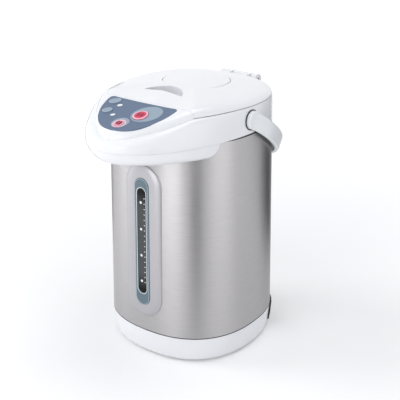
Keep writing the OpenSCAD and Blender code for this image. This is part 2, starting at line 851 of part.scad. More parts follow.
module upper_housing() {
  color(white) moulded() difference() {
    union() {
      difference() {
        intersection() {
          head_solid();
          translate([-big / 2, -big / 2, shell_top]) cube(big);
        }
        // Room of the lid
        translate([-big / 2, -lid_front - gap, seam_z]) cube(big);
        // Hollow of the beak and the collar
        intersection() {
          union() {
            intersection() {
              head_inner(wall_t);
              union() {
                translate([-big / 2, -big / 2, seam_z - deck_t - big]) cube(big);
                translate([-big / 2, -big - lid_front - gap - step_t, 0]) cube(big);
              }
            }
            on_facet() key_rooms();
          }
          on_facet() translate([-big / 2, -big / 2, -key_deep - big]) cube(big);
        }
      }
      // Lip inside the steel, taller in front where it closes the pot's room
      intersection() {
        skin([
          body_ring(shell_top - lip_h, top_half - lip_inset - 0.2),
          body_ring(shell_top, top_half - lip_inset),
          body_ring(shell_top + skirt_ring_h, top_half - lip_inset),
          body_ring(shell_top + skirt_ring_h, top_half - lip_inset - wall_t),
          body_ring(shell_top - lip_h, top_half - lip_inset - wall_t)
        ], closed = true);
        union() {
          translate([-big / 2, -big / 2, shell_top + 2 - big]) cube(big);
          translate([-big / 2, front_ring_y - big, 0]) cube(big);
        }
      }
      // Landing pad of the hinge bracket
      translate([-pad_half, top_half - wall_t + 0.3, pad_low])
        cube([2 * pad_half, pad_y - top_half + wall_t - 0.3, pad_high - pad_low]);
      intersection() {
        on_facet() panel_bosses(-board_depth, 1 - key_deep, 3);
        head_solid();
      }
    }
    translate([0, pot_y, seam_z - 10]) cylinder(r = neck_hole, h = 20);
    // Panel recess, keys and lenses
    on_facet() {
      translate([0, 0, -panel_t]) linear_extrude(10) offset(delta = fit)
        polygon(panel_outline());
      key_holes(2 * gap);
      lens_holes(gap);
      panel_bosses(-board_depth - 1, 1 - key_deep, board_screw_r);
    }
    // Pivot pockets and bush seats
    for (s = [-1, 1]) translate([0, pivot_y, pivot_z]) {
      bar_x(hub_r + 2 * gap, s * pocket_x, s * big / 2);
      bar_x(bush_r + gap, s * (bush_in - 5), s * big / 2);
    }
    // Latch slot, hose notch and bracket screws
    translate([-keeper_half, keeper_y, seam_z - 8])
      cube([2 * keeper_half, keeper_back - keeper_y, 16]);
    translate([-hose_r - hose_room, -top_half - 1, run_z - hose_r - 2 * hose_room])
      cube([2 * (hose_r + hose_room), 12, 2 * hose_r + 3 * hose_room]);
    for (s = [-1, 1]) translate([s * hinge_screw_x, top_half + 5, hinge_screw_z])
      rotate([90, 0, 0]) cylinder(r = screw_r + gap, h = 12);
  }
}

// Beak tray

apron_round = 17;
apron_rear = -55;
// Side profile of the tray, its lower rear corner rounded
module apron_profile(inset) {
  rotate([90, 0, 90]) linear_extrude(big, center = true) intersection() {
    union() {
      translate([-big / 2, apron_z - 5])
        square([big / 2 + apron_rear - apron_round, beak_drop + 30]);
      translate([apron_rear - apron_round, shell_top]) circle(apron_round - inset);
      translate([-big / 2, shell_top]) square([big / 2 + apron_rear - inset, 20]);
    }
    translate([-big / 2, 0]) square([big, shell_top + (inset > 0 ? 5 : 0)]);
  }
}

nozzle_r = 7;
nozzle_low = apron_z - 5;
tray_floor = apron_z + tray_t;
module spout_cover() {
  color(white) moulded() difference() {
    intersection() {
      head_solid();
      apron_profile(0);
    }
    intersection() {
      skin([for (l = tray_levels) level_ring(l)]);
      apron_profile(tray_t);
    }
    body_solid(gap, shell_z, shell_top + 1);
    translate([0, nozzle_y, apron_z - 10]) cylinder(r = nozzle_r + gap, h = 20);
  }
}

module spout_nozzle() {
  color(pale) translate([0, nozzle_y, 0]) difference() {
    union() {
      translate([0, 0, nozzle_low]) cylinder(r = nozzle_r, h = tray_floor - nozzle_low + 1);
      translate([0, 0, tray_floor]) cylinder(r = nozzle_r + 3, h = 2);
      translate([0, 0, tray_floor + 1]) cylinder(r = tube_r, h = overlap + 1);
    }
    translate([0, 0, nozzle_low - 1]) cylinder(r = nozzle_r - 2, h = tray_floor - nozzle_low);
    translate([0, 0, nozzle_low]) cylinder(r = tube_bore / 2, h = 40);
  }
}

module outlet_hose() {
  low = tube_top - overlap;
  drop = tray_floor + 2;
  color(black) {
    translate([0, tube_y, low]) tube(hose_r, hose_bore_r, run_z - bend_r - low);
    translate([0, tube_y - bend_r, run_z - bend_r]) rotate([90, 0, 0]) rotate([0, 90, 0])
      hose_bend(bend_r);
    translate([0, tube_y - bend_r, run_z]) rotate([90, 0, 0])
      tube(hose_r, hose_bore_r, tube_y - nozzle_y - 2 * bend_r);
    translate([0, nozzle_y + bend_r, run_z - bend_r]) rotate([0, -90, 180]) hose_bend(bend_r);
    translate([0, nozzle_y, drop]) tube(hose_r, hose_bore_r, run_z - bend_r - drop);
  }
}

neck_flange_t = 2;
module neck_ring() {
  color(white) translate([0, pot_y, liner_top]) difference() {
    union() {
      cylinder(r = neck_r + neck_wall, h = seam_z - liner_top - 0.6);
      cylinder(r = liner_r + flange_w, h = neck_flange_t);
    }
    translate([0, 0, -1]) cylinder(r = neck_r, h = 60);
  }
}

// Controls

module control_panel() {
  color(slate) on_facet() difference() {
    translate([0, 0, -panel_t]) linear_extrude(panel_t) polygon(panel_outline());
    key_holes(gap);
    lens_holes(fit);
  }
}

pad_t = 0.3;
module button_surrounds() {
  color(slate_pale) on_facet() difference() {
    for (p = [pad_a, pad_b]) translate([p[0], p[1], 0]) rotate([0, 0, p[4]])
      linear_extrude(pad_t) ellipse(p[2], p[3]);
    key_holes(gap);
  }
}

module indicator_lenses() {
  color("white") on_facet() for (l = [lens_a, lens_b]) at_key(l)
    translate([0, 0, 1.2 - board_depth]) linear_extrude(board_depth - 1.2 + pad_t)
      ellipse(l[2], l[3]);
}

board_scale = 0.86;
board_shift = -4;
module control_board() {
  on_facet() {
    color(board_green) difference() {
      translate([0, 0, -board_depth - board_t]) linear_extrude(board_t)
        polygon([for (p = panel_outline()) [p.x * board_scale, p.y * board_scale + board_shift]]);
      panel_bosses(-board_depth - 3, 1 - board_depth, board_screw_r);
    }
    for (k = [dispense_at, unlock_at, reboil_at, timer_at]) {
      color(black) translate([k.x - 3, k.y - 3, -board_depth]) cube([6, 6, switch_h]);
      color("silver") translate([k.x, k.y, -board_depth]) cylinder(r = 1.6, h = plunger_h);
    }
    color("white") for (l = [lens_a, lens_b])
      translate([l[0] - 1, l[1] - 1, -board_depth]) cube([2, 2, 1]);
  }
}

module board_screws() {
  length = board_t + 4.5;
  color(steel) {
    on_facet() for (p = boss_at) translate([p.x, p.y, -board_depth - board_t]) {
      translate([0, 0, -1.4]) cylinder(r = 2, h = 1.4);
      translate([0, 0, -sliver]) cylinder(r = board_screw_r - fit, h = length);
    }
    at_board_posts() translate([0, 0, board_z + board_t]) {
      cylinder(r = 2, h = 1.4);
      translate([0, 0, -length]) cylinder(r = board_screw_r - fit, h = length + sliver);
    }
  }
}

module dispense_button() {
  color(red) on_facet() translate([dispense_at.x, dispense_at.y, 0]) round_key(dispense_r, 1.4);
}
module unlock_button() {
  color(red) on_facet() translate([unlock_at.x, unlock_at.y, 0]) round_key(unlock_r, 1.2);
}
module reboil_key() {
  color(slate_pale) on_facet() at_key(reboil_at) oval_key(reboil_size, 0.9);
}
module timer_key() {
  color(slate_pale) on_facet() at_key(timer_at) oval_key(timer_size, 0.9);
}

// Lid

plate_y = 9;
plate_hole = plate_r + 2 * gap;
stop_z = seam_z + 8;
stop_t = 1.5;
stop_r = plate_r + 1.4;
base_z = seam_z + gap;
base_t = 1.6;
base_top = base_z + base_t;
well_r = stop_r + gap;
well_wall = 2;
plug_r = neck_r - 4;
plug_wall = 2;
floor_t = 1.6;
floor_z = stop_z - stop_t - plate_travel - floor_t - 3.9;
recess_y = recess_r - lid_front - 6.5;
recess_wall = 1.2;
recess_cut_r = 157;
recess_cut_y = -205;
arm_in = 8.2;
arm_out = 16.7;
arm_t = 2.8;
arm_back = 70;

// Crescent of the finger recess, its front edge on a wide arc
module recess_shape(r, cut_r) {
  difference() {
    translate([0, recess_y]) circle(r);
    translate([0, recess_cut_y]) circle(cut_r, $fn = 180);
  }
}

// Outline of the lid's underside, inside the lid's walls
function base_outline(grow) = [
  for (t = turns) let (p = oval(t, rim_half - lid_wall - 0.2 + grow,
    rim_front - 1.6 * lid_wall - 0.3 + grow, rim_n))
  [p.x, max(p.y, -lid_front + lid_wall + 0.2 - grow)]
];

module lid_shell() {
  color(white) moulded() difference() {
    intersection() {
      head_solid();
      translate([-big / 2, -lid_front, base_z]) cube(big);
      union() {
        difference() {
          head_solid();
          intersection() {
            head_inner(lid_wall);
            translate([-big / 2, -lid_front + lid_wall, 0]) cube(big);
          }
          translate([0, 0, base_z - 1]) linear_extrude(base_t + 1.2)
            polygon(base_outline(0.1));
        }
        // Rim of the plate's hole and wall of the finger recess
        translate([0, plate_y, stop_z + gap]) cylinder(r = plate_hole + lid_wall, h = 20);
        translate([0, 0, base_top + gap]) linear_extrude(20)
          recess_shape(recess_r + recess_wall, recess_cut_r + 0.4);
      }
    }
    translate([0, plate_y, 0]) cylinder(r = plate_hole, h = big);
    translate([0, 0, base_top]) linear_extrude(50) recess_shape(recess_r, recess_cut_r);
    for (s = [-1, 1]) translate([s * (arm_in + arm_out) / 2, 0, 0])
      translate([-(arm_out - arm_in) / 2 - gap, arm_back - gap, 0])
        cube([arm_out - arm_in + 2 * gap, 60, base_top + arm_t + gap]);
  }
}

lever_y = -62;
lever_z = base_top + 2.3;
lever_pin_r = 1.2;
lever_hub_r = 2.1;
lever_half = 13;
tab_half = 14;
tab_back = recess_y + 17.5;
ear_in = 15;
ear_out = 17.2;
nose_tip = keeper_y + gap;
hook_z = seam_z - 6;
nose_t = 2.5;
leg_back = nose_tip + 6.5;
leg_t = 2.4;
lid_screw_ring = 50;
lid_boss_r = 3.5;
plate_screw_r = 1.45;

module at_lid_screws() {
  translate([0, pot_y, 0]) for (a = [90, 210, 330]) rotate([0, 0, a])
    translate([lid_screw_ring, 0, 0]) children();
}

module lid_base() {
  color(white) difference() {
    union() {
      translate([0, 0, base_z]) linear_extrude(base_t) polygon(base_outline(0));
      translate([0, pot_y, floor_z]) cylinder(r = plug_r, h = base_z - floor_z + 1);
      for (s = [-1, 1]) {
        translate([0, lever_y, lever_z]) bar_x(2.4, s * ear_in, s * ear_out);
        translate([s * (ear_in + ear_out) / 2 - (ear_out - ear_in) / 2, lever_y - 2.4,
          base_top - 1]) cube([ear_out - ear_in, 4.8, lever_z - base_top + 1]);
      }
    }
    // Room between the plug's wall and the pump well
    difference() {
      translate([0, pot_y, floor_z + floor_t])
        cylinder(r = plug_r - plug_wall, h = base_z - floor_z - floor_t);
      translate([0, plate_y, 0]) cylinder(r = well_r + well_wall, h = big);
      at_lid_screws() cylinder(r = lid_boss_r, h = big);
    }
    translate([0, plate_y, floor_z + floor_t]) cylinder(r = well_r, h = 60);
    translate([0, plate_y, floor_z - 1]) cylinder(r = 3, h = 5);
    at_lid_screws() translate([0, 0, floor_z - 1]) cylinder(r = plate_screw_r + fit, h = 11);
    translate([0, lever_y, lever_z]) bar_x(lever_pin_r + fit, -20, 20);
    translate([-keeper_half, keeper_y - 1, base_z - 1])
      cube([2 * keeper_half, keeper_back - keeper_y + 1, base_t + 2]);
  }
}

gasket_h = 6;
module lid_gasket() {
  color("dimgray") translate([0, pot_y, floor_z])
    tube(neck_r - gap - 0.1, plug_r + fit, gasket_h);
}

cover_plate_t = 1.2;
module inner_cover() {
  color(steel) difference() {
    translate([0, pot_y, floor_z - cover_plate_t]) cylinder(r = plug_r + 2, h = cover_plate_t);
    translate([0, plate_y, floor_z - 5]) cylinder(r = 3, h = 10);
    at_lid_screws() translate([0, 0, floor_z - 5]) cylinder(r = plate_screw_r + fit, h = 10);
  }
}

module lid_screws() {
  color(steel) at_lid_screws() translate([0, 0, floor_z - cover_plate_t])
    screw(9, plate_screw_r);
}

module latch_lever() {
  nose_half = keeper_half - 2;
  color(white) difference() {
    union() {
      translate([0, lever_y, lever_z]) bar_x(lever_hub_r, -lever_half, lever_half);
      translate([-tab_half, lever_y + 3, lever_z - 1])
        cube([2 * tab_half, tab_back - lever_y - 3, 2]);
      translate([-lever_half, lever_y - 4, lever_z - 1]) cube([2 * lever_half, 8, 2]);
      translate([-nose_half, leg_back - leg_t, lever_z - 1])
        cube([2 * nose_half, lever_y - leg_back + leg_t, 2]);
      translate([-nose_half, leg_back - leg_t, hook_z])
        cube([2 * nose_half, leg_t, lever_z + 1 - hook_z]);
      translate([-nose_half, nose_tip, hook_z]) cube([2 * nose_half, leg_back - nose_tip, nose_t]);
    }
    translate([0, lever_y, lever_z]) bar_x(lever_pin_r + fit, -20, 20);
  }
}

module latch_pin() {
  color(steel) translate([0, lever_y, lever_z]) bar_x(lever_pin_r, -ear_out, ear_out);
}

coil_wire = 0.3;
// Two close-wound coils on the pin, between the lever and its ears
module latch_springs() {
  color("silver") for (s = [-1, 1])
    translate([s * (lever_half + 0.2), lever_y, lever_z]) rotate([0, s * 90, 0])
      rotate_extrude() for (i = [0:2])
        translate([lever_pin_r + coil_wire + fit, coil_wire * (1 + 1.8 * i)])
          circle(coil_wire, $fn = 16);
}

plate_top = crown_z - 0.4;
plate_dome = 2;
plate_under = stop_z + 2;
module press_plate() {
  dome_r = (plate_r * plate_r + plate_dome * plate_dome) / (2 * plate_dome);
  color(white) translate([0, plate_y, 0]) difference() {
    union() {
      intersection() {
        translate([0, 0, stop_z - sliver]) cylinder(r = plate_r, h = 20);
        translate([0, 0, plate_top - dome_r]) sphere(dome_r, $fn = 240);
      }
      translate([0, 0, stop_z - stop_t]) cylinder(r = stop_r, h = stop_t);
    }
    translate([0, 0, stop_z - stop_t - 1])
      cylinder(r = plate_r - 2, h = plate_under - stop_z + stop_t + 1);
  }
}

bellows_r = 30;
bellows_in = 25;
bellows_t = 0.8;
folds = 5;
well_floor = floor_z + floor_t;
module bellows() {
  h = plate_under - well_floor - 2 * fit;
  pitch = h / folds;
  outer = [for (i = [0:folds - 1]) each
    [[bellows_in, i * pitch], [bellows_r, (i + 0.5) * pitch]]];
  inner = [for (i = [folds - 1:-1:0]) each
    [[bellows_r - bellows_t, (i + 0.5) * pitch], [bellows_in - bellows_t, i * pitch]]];
  color("dimgray") translate([0, plate_y, well_floor + fit]) rotate_extrude()
    polygon(concat(outer, [[bellows_in, h], [bellows_in - bellows_t, h]], inner));
}

spring_r = 12;
spring_wire = 1;
spring_turns = 5;
spring_steps = 12;
module plate_spring() {
  h = plate_under - well_floor - 2 * spring_wire - 2 * fit;
  steps = spring_turns * spring_steps;
  color("silver") translate([0, plate_y, well_floor + spring_wire + fit]) skin([
    for (i = [0:steps]) [
      for (j = [0:5]) let (a = 360 * i / spring_steps, r = spring_r + spring_wire * cos(60 * j))
      [r * cos(a), r * sin(a), h * i / steps - spring_wire * sin(60 * j)]
    ]
  ]);
}

// Hinge

bracket_in = arm_in - 0.2;
bracket_out = pad_half - 1;
bracket_gap = arm_out + gap;
plate_t = 2.4;
module hinge_bracket() {
  color(white) difference() {
    union() {
      for (x = [[-bracket_in, bracket_in], [bracket_gap, bracket_out],
          [-bracket_out, -bracket_gap]]) {
        translate([0, hinge_y, hinge_z]) bar_x(hinge_r, x[0], x[1]);
        translate([x[0], pad_y, hinge_z - hinge_r]) cube([x[1] - x[0], hinge_y - pad_y, hinge_r]);
      }
      translate([-bracket_out, pad_y, pad_low])
        cube([2 * bracket_out, plate_t, pad_high - pad_low]);
    }
    translate([0, hinge_y, hinge_z]) bar_x(hinge_pin_r + fit, -big, big);
    for (s = [-1, 1]) translate([s * hinge_screw_x, pad_y + 10, hinge_screw_z])
      rotate([90, 0, 0]) cylinder(r = screw_r + fit, h = 12);
  }
}

module hinge_arm() {
  color(white) difference() {
    for (s = [-1, 1]) {
      translate([0, hinge_y, hinge_z]) bar_x(hinge_r, s * arm_in, s * arm_out);
      translate([s > 0 ? arm_in : -arm_out, arm_back, base_top])
        cube([arm_out - arm_in, hinge_y - arm_back, arm_t]);
    }
    translate([0, hinge_y, hinge_z]) bar_x(hinge_pin_r + fit, -big, big);
  }
}

module hinge_pin() {
  color(steel) translate([0, hinge_y, hinge_z]) bar_x(hinge_pin_r, -bracket_out, bracket_out);
}

module hinge_screws() {
  color(steel) for (s = [-1, 1]) translate([s * hinge_screw_x, pad_y + plate_t, hinge_screw_z])
    rotate([90, 0, 0]) screw(plate_t + wall_t, screw_r);
}

// Handle

bail_n = 2.4;
bail_half = foot_half + bail_room + bail_t / 2;
hub_x = pocket_x + gap + bail_t / 2;
hub_face = hub_x - bail_t / 2;
hub_tuck = 30;
pivot_depth = 3.6;
// Middle line of the bail, from the right pivot round to the left one
function bail_point(a) =
  let (v = bail_reach * pow(abs(sin(a)), 2 / bail_n),
    tuck = (bail_half - hub_x) * pow(max(0, 1 - v / hub_tuck), 2))
  [power(cos(a), 2 / bail_n) * bail_half - sign(cos(a)) * tuck, v];
bail_turns = concat([0, 2, 5, 9, 14], [for (a = [20:7:160]) a], [166, 171, 175, 178, 180]);
function bail_dir(a) =
  let (d = bail_point(min(180, a + 1)) - bail_point(max(0, a - 1))) d / norm(d);
// Band section: shares of the thickness and of the width, its outside rounded
bail_section = [
  [-0.5, 0.5], [-0.2, 0.5], [0.3, 0.44], [0.5, 0.28], [0.5, -0.28], [0.3, -0.44],
  [-0.2, -0.5], [-0.5, -0.5]
];
function bail_ring(a) =
  let (p = bail_point(a), d = bail_dir(a))
  [for (s = bail_section) [p.x + d.y * s.x * bail_t, p.y - d.x * s.x * bail_t, s.y * bail_w]];

// Frame of the bail: y runs along its plane away from the pivots
module on_bail() {
  translate([0, pivot_y, pivot_z]) rotate([-bail_slope, 0, 0]) children();
}

module handle_bail() {
  color(white) moulded() difference() {
    on_bail() {
      skin([for (a = bail_turns) bail_ring(a)]);
      for (s = [-1, 1]) bar_x(hub_r, s * hub_face, s * (hub_face + bail_t));
    }
    for (s = [-1, 1]) translate([0, pivot_y, pivot_z])
      bar_x(pivot_r + gap, 0, s * (hub_face + pivot_depth));
  }
}

module handle_pivots() {
  color(steel) for (s = [-1, 1]) translate([0, pivot_y, pivot_z])
    bar_x(pivot_r, s * bush_in, s * (hub_face + pivot_depth));
}

module pivot_bushes() {
  inner = head_half - wall_t;
  color(black) for (s = [-1, 1]) translate([0, pivot_y, pivot_z]) difference() {
    union() {
      bar_x(bush_r, s * bush_in, s * pocket_x);
      bar_x(bush_flange_r, s * (inner - 2.9), s * (inner - 1));
    }
    bar_x(pivot_r + fit, -big, big);
  }
}

base_skirt();
bottom_cover();
foot_ring();
bottom_screws();
inlet_panel();
inlet_pins();
power_board();
chassis_frame();
heater_plate();
thermostat();
liner();
pump_casing();
impeller();
impeller_pin();
pump_motor();
drive_magnet();
riser_hose();
sight_tube();
gauge_channel();
outer_shell();
gauge_panel();
gauge_bezel();
gauge_window();
level_marks();
upper_housing();
spout_cover();
spout_nozzle();
outlet_hose();
neck_ring();
control_panel();
button_surrounds();
indicator_lenses();
control_board();
board_screws();
dispense_button();
unlock_button();
reboil_key();
timer_key();
lid_shell();
lid_base();
lid_gasket();
inner_cover();
lid_screws();
latch_lever();
latch_pin();
latch_springs();
press_plate();
bellows();
plate_spring();
hinge_bracket();
hinge_arm();
hinge_pin();
hinge_screws();
handle_bail();
handle_pivots();
pivot_bushes();
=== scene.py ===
import json
from math import atan, cos, degrees, pi, radians, sin, sqrt

import bmesh
import bpy
from mathutils import Matrix, Vector


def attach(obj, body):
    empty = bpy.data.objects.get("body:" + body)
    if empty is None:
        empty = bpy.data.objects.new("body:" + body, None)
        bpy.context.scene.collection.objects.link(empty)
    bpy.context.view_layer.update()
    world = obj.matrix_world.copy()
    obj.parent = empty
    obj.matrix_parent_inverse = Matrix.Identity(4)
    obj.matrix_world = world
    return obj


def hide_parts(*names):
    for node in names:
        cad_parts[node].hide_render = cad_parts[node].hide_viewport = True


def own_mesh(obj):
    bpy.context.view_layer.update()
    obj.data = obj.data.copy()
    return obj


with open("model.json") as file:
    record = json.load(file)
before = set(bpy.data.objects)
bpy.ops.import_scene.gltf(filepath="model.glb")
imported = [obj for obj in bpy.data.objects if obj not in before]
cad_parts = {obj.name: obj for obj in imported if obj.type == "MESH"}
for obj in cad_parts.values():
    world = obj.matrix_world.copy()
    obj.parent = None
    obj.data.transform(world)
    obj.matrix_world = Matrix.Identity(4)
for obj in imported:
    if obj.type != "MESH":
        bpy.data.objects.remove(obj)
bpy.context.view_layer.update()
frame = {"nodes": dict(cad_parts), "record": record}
nodes = frame["nodes"]
nodeSlot = {s["node"]: s["material_slot"] for s in frame["record"]["subparts"]}
scene = bpy.context.scene
mm = 0.001
sides = 192
print("stage: frame loaded")


# Materials: every finish has fine noise in its colour, gloss and relief
surface = {"roughSpread": 0.04, "coatRough": 0.08, "ior": 1.46, "grainTurn": 0.25}


def finish(name, color, rough, metal=0.0, coat=0.0, tone=0.03, scale=(500, 500, 500),
           bump=0.02, depth=0.00004, alpha=1.0, transmission=0.0, aniso=0.0):
    made = bpy.data.materials.new(name)
    made.use_nodes = True
    tree = made.node_tree
    add, link = tree.nodes.new, tree.links.new
    shader = tree.nodes["Principled BSDF"]
    coord = add("ShaderNodeTexCoord")
    mapping = add("ShaderNodeMapping")
    mapping.inputs["Scale"].default_value = scale
    link(coord.outputs["Object"], mapping.inputs["Vector"])
    noise = add("ShaderNodeTexNoise")
    noise.inputs["Scale"].default_value = 1.0
    noise.inputs["Detail"].default_value = 3.0
    link(mapping.outputs["Vector"], noise.inputs["Vector"])
    tones = add("ShaderNodeMix")
    tones.data_type = "RGBA"
    tones.inputs["A"].default_value = [max(0, c * (1 - tone)) for c in color] + [1]
    tones.inputs["B"].default_value = [min(1, c * (1 + tone)) for c in color] + [1]
    link(noise.outputs["Fac"], tones.inputs["Factor"])
    link(tones.outputs["Result"], shader.inputs["Base Color"])
    spread = add("ShaderNodeMapRange")
    spread.inputs["To Min"].default_value = max(0.02, rough - surface["roughSpread"])
    spread.inputs["To Max"].default_value = min(1, rough + surface["roughSpread"])
    link(noise.outputs["Fac"], spread.inputs["Value"])
    link(spread.outputs["Result"], shader.inputs["Roughness"])
    relief = add("ShaderNodeBump")
    relief.inputs["Strength"].default_value = bump
    relief.inputs["Distance"].default_value = depth
    link(noise.outputs["Fac"], relief.inputs["Height"])
    link(relief.outputs["Normal"], shader.inputs["Normal"])
    shader.inputs["Metallic"].default_value = metal
    shader.inputs["Coat Weight"].default_value = coat
    shader.inputs["Coat Roughness"].default_value = surface["coatRough"]
    shader.inputs["Alpha"].default_value = alpha
    shader.inputs["Transmission Weight"].default_value = transmission
    shader.inputs["IOR"].default_value = surface["ior"]
    if aniso:
        shader.inputs["Anisotropic"].default_value = aniso
        shader.inputs["Anisotropic Rotation"].default_value = surface["grainTurn"]
        tangent = add("ShaderNodeTangent")
        tangent.direction_type = "RADIAL"
        tangent.axis = "Z"
        link(tangent.outputs["Tangent"], shader.inputs["Tangent"])
    made.diffuse_color = [*color, 1]
    return made


# A material's colour darkens with height away from a middle, both in metres: painted shade at a
# part's ends
def paintShadeAtEnds(material, middle, start, end, least):
    tree = material.node_tree
    add, link = tree.nodes.new, tree.links.new
    shader = tree.nodes["Principled BSDF"]
    coord, split, shift, size, span, fade = (
        add("ShaderNodeTexCoord"), add("ShaderNodeSeparateXYZ"), add("ShaderNodeMath"),
        add("ShaderNodeMath"), add("ShaderNodeMapRange"), add("ShaderNodeVectorMath"))
    shift.operation, size.operation, fade.operation = "SUBTRACT", "ABSOLUTE", "SCALE"
    shift.inputs[1].default_value = middle
    span.inputs["From Min"].default_value, span.inputs["From Max"].default_value = start, end
    span.inputs["To Min"].default_value, span.inputs["To Max"].default_value = 1.0, least
    link(coord.outputs["Object"], split.inputs[0])
    link(split.outputs["Z"], shift.inputs[0])
    link(shift.outputs[0], size.inputs[0])
    link(size.outputs[0], span.inputs["Value"])
    link(shader.inputs["Base Color"].links[0].from_socket, fade.inputs[0])
    link(span.outputs["Result"], fade.inputs["Scale"])
    link(fade.outputs[0], shader.inputs["Base Color"])


grain = (60, 60, 2600)  # short up the body, long round it
windowEndShadeAndSpecular = {"middle": 0.1393, "start": 0.038, "end": 0.056, "least": 0.04, "specular": 0.2}
mats = {
    "white_plastic": finish("whiteGloss", (0.85, 0.86, 0.88), 0.24, coat=0.2, tone=0.006),
    "pale_plastic": finish("paleSatin", (0.66, 0.68, 0.71), 0.45, tone=0.02),
    "brushed_steel": finish("bodySteel", (0.44, 0.43, 0.438), 0.42, metal=1.0, tone=0.16,
                            scale=grain, bump=0.1, depth=0.00002, aniso=0.7),
    "pot_steel": finish("potSteel", (0.62, 0.62, 0.63), 0.26, metal=1.0, tone=0.06,
                        scale=(8, 8, 1400), bump=0.08, aniso=0.4),
    "plated_steel": finish("platedSteel", (0.7, 0.7, 0.72), 0.2, metal=1.0, tone=0.05),
    "silver_plastic": finish("gaugeSilver", (0.455, 0.45, 0.47), 0.36, metal=0.45, tone=0.02),
    "slate_plastic": finish("slate", (0.105, 0.155, 0.24), 0.42, tone=0.05),
    "slate_pale": finish("slatePale", (0.28, 0.36, 0.45), 0.38, tone=0.04),
    "red_plastic": finish("buttonRed", (0.62, 0.035, 0.1), 0.42, tone=0.04),
    "black_plastic": finish("blackTexture", (0.02, 0.02, 0.023), 0.5, tone=0.3,
                            scale=(1200,) * 3, bump=0.3),
    "clear_plastic": finish("clearTube", (0.9, 0.93, 0.94), 0.08, tone=0.01,
                            transmission=0.85, alpha=0.6),
    "white_print": finish("whitePrint", (0.86, 0.87, 0.88), 0.5, tone=0.03),
    "silicone": finish("silicone", (0.42, 0.43, 0.44), 0.6, tone=0.08, bump=0.1),
    "rubber_black": finish("rubber", (0.025, 0.025, 0.028), 0.75, tone=0.3, bump=0.3),
    "board": finish("boardGreen", (0.02, 0.11, 0.055), 0.4, tone=0.25, scale=(260,) * 3),
    "brass_pins": finish("brassPins", (0.72, 0.55, 0.28), 0.25, metal=1.0, tone=0.06),
    "motor_steel": finish("zincCan", (0.5, 0.5, 0.52), 0.38, metal=0.9, tone=0.1),
    "magnet": finish("sintered", (0.09, 0.09, 0.1), 0.55, metal=0.5, tone=0.3),
}
bezelBlue = finish("bezelBlue", (0.11, 0.165, 0.197), 0.36, coat=0.1, tone=0.05)
# Near black for the rings that paint the shade inside gaps
gapShade = finish("gapShade", (0.018, 0.019, 0.022), 0.7, tone=0.2)
windowSmokeAndEndShade = finish("windowSmokeAndEndShade", (0.075, 0.077, 0.08), 0.45, tone=0.03, alpha=0.96)
darkRed = finish("darkRed", (0.2, 0.008, 0.035), 0.5, tone=0.05)
pinkRing = finish("pinkRing", (0.8, 0.5, 0.6), 0.4, tone=0.03)
paleLine = finish("paleLine", (0.5, 0.58, 0.66), 0.45, tone=0.03)
markGrey = finish("markGrey", (0.3, 0.31, 0.33), 0.5, tone=0.05)
handleShade = finish("handleShade", (0.42, 0.45, 0.45), 0.5, tone=0.04)
handleWhite = finish("handleWhite", (0.83, 0.85, 0.86), 0.3, coat=0.12, tone=0.008)
# The window's smoked colour is darkened towards both ends of the tube: painted shade
paintShadeAtEnds(windowSmokeAndEndShade, windowEndShadeAndSpecular["middle"], windowEndShadeAndSpecular["start"], windowEndShadeAndSpecular["end"], windowEndShadeAndSpecular["least"])
smokeShader = windowSmokeAndEndShade.node_tree.nodes["Principled BSDF"]
smokeShader.inputs["Specular IOR Level"].default_value = windowEndShadeAndSpecular["specular"]
print("stage: materials")


# Shape tools. Sizes are in millimetres until the mesh is made
def power(v, e):
    return (1 if v >= 0 else -1) * abs(v) ** e


def mix(a, b, f):
    return a + (b - a) * f


def makeMesh(name, verts, faces, matrix=None):
    mesh = bpy.data.meshes.new(name)
    mesh.from_pydata([[c * mm for c in v] for v in verts], [], faces)
    bm = bmesh.new()
    bm.from_mesh(mesh)
    bmesh.ops.remove_doubles(bm, verts=bm.verts, dist=1e-7)
    bmesh.ops.recalc_face_normals(bm, faces=bm.faces)
    bm.to_mesh(mesh)
    bm.free()
    obj = bpy.data.objects.new(name, mesh)
    scene.collection.objects.link(obj)
    if matrix is not None:
        mesh.transform(matrix)
    return obj


# Solid through rings of equal count, capped at its ends or closed on itself
def skin(name, rings, closed=False, matrix=None):
    rows, across = len(rings), len(rings[0])
    verts = [point for row in rings for point in row]
    faces = []
    for i in range(rows if closed else rows - 1):
        low, high = i * across, (i + 1) % rows * across
        for j in range(across):
            after = (j + 1) % across
            faces.append((low + j, low + after, high + after, high + j))
    if not closed:
        faces.append(tuple(range(across))[::-1])
        faces.append(tuple((rows - 1) * across + j for j in range(across)))
    return makeMesh(name, verts, faces, matrix)


def revolve(name, profile, count=96, matrix=None):
    rings = [[(r * cos(2 * pi * j / count), r * sin(2 * pi * j / count), z)
              for j in range(count)] for r, z in profile]
    return skin(name, rings, closed=True, matrix=matrix)


def prism(name, outline, z0, z1, matrix=None):
    return skin(name, [[(x, y, z0) for x, y in outline], [(x, y, z1) for x, y in outline]],
                matrix=matrix)


def block(x0, y0, z0, x1, y1, z1, matrix=None):
    return prism("block", [(x0, y0), (x1, y0), (x1, y1), (x0, y1)], z0, z1, matrix)


def disc(x, y, r, z0, z1, matrix=None, count=96):
    ring = [(x + r * cos(2 * pi * j / count), y + r * sin(2 * pi * j / count))
            for j in range(count)]
    return prism("disc", ring, z0, z1, matrix)


def place(x, y, z):
    return Matrix.Translation((x * mm, y * mm, z * mm))


def turn(axis, angle):
    return Matrix.Rotation(radians(angle), 4, axis)


def join(parts):
    bm = bmesh.new()
    for p in parts:
        bm.from_mesh(p.data)
    bm.to_mesh(parts[0].data)
    bm.free()
    for p in parts[1:]:
        bpy.data.objects.remove(p)
    return parts[0]


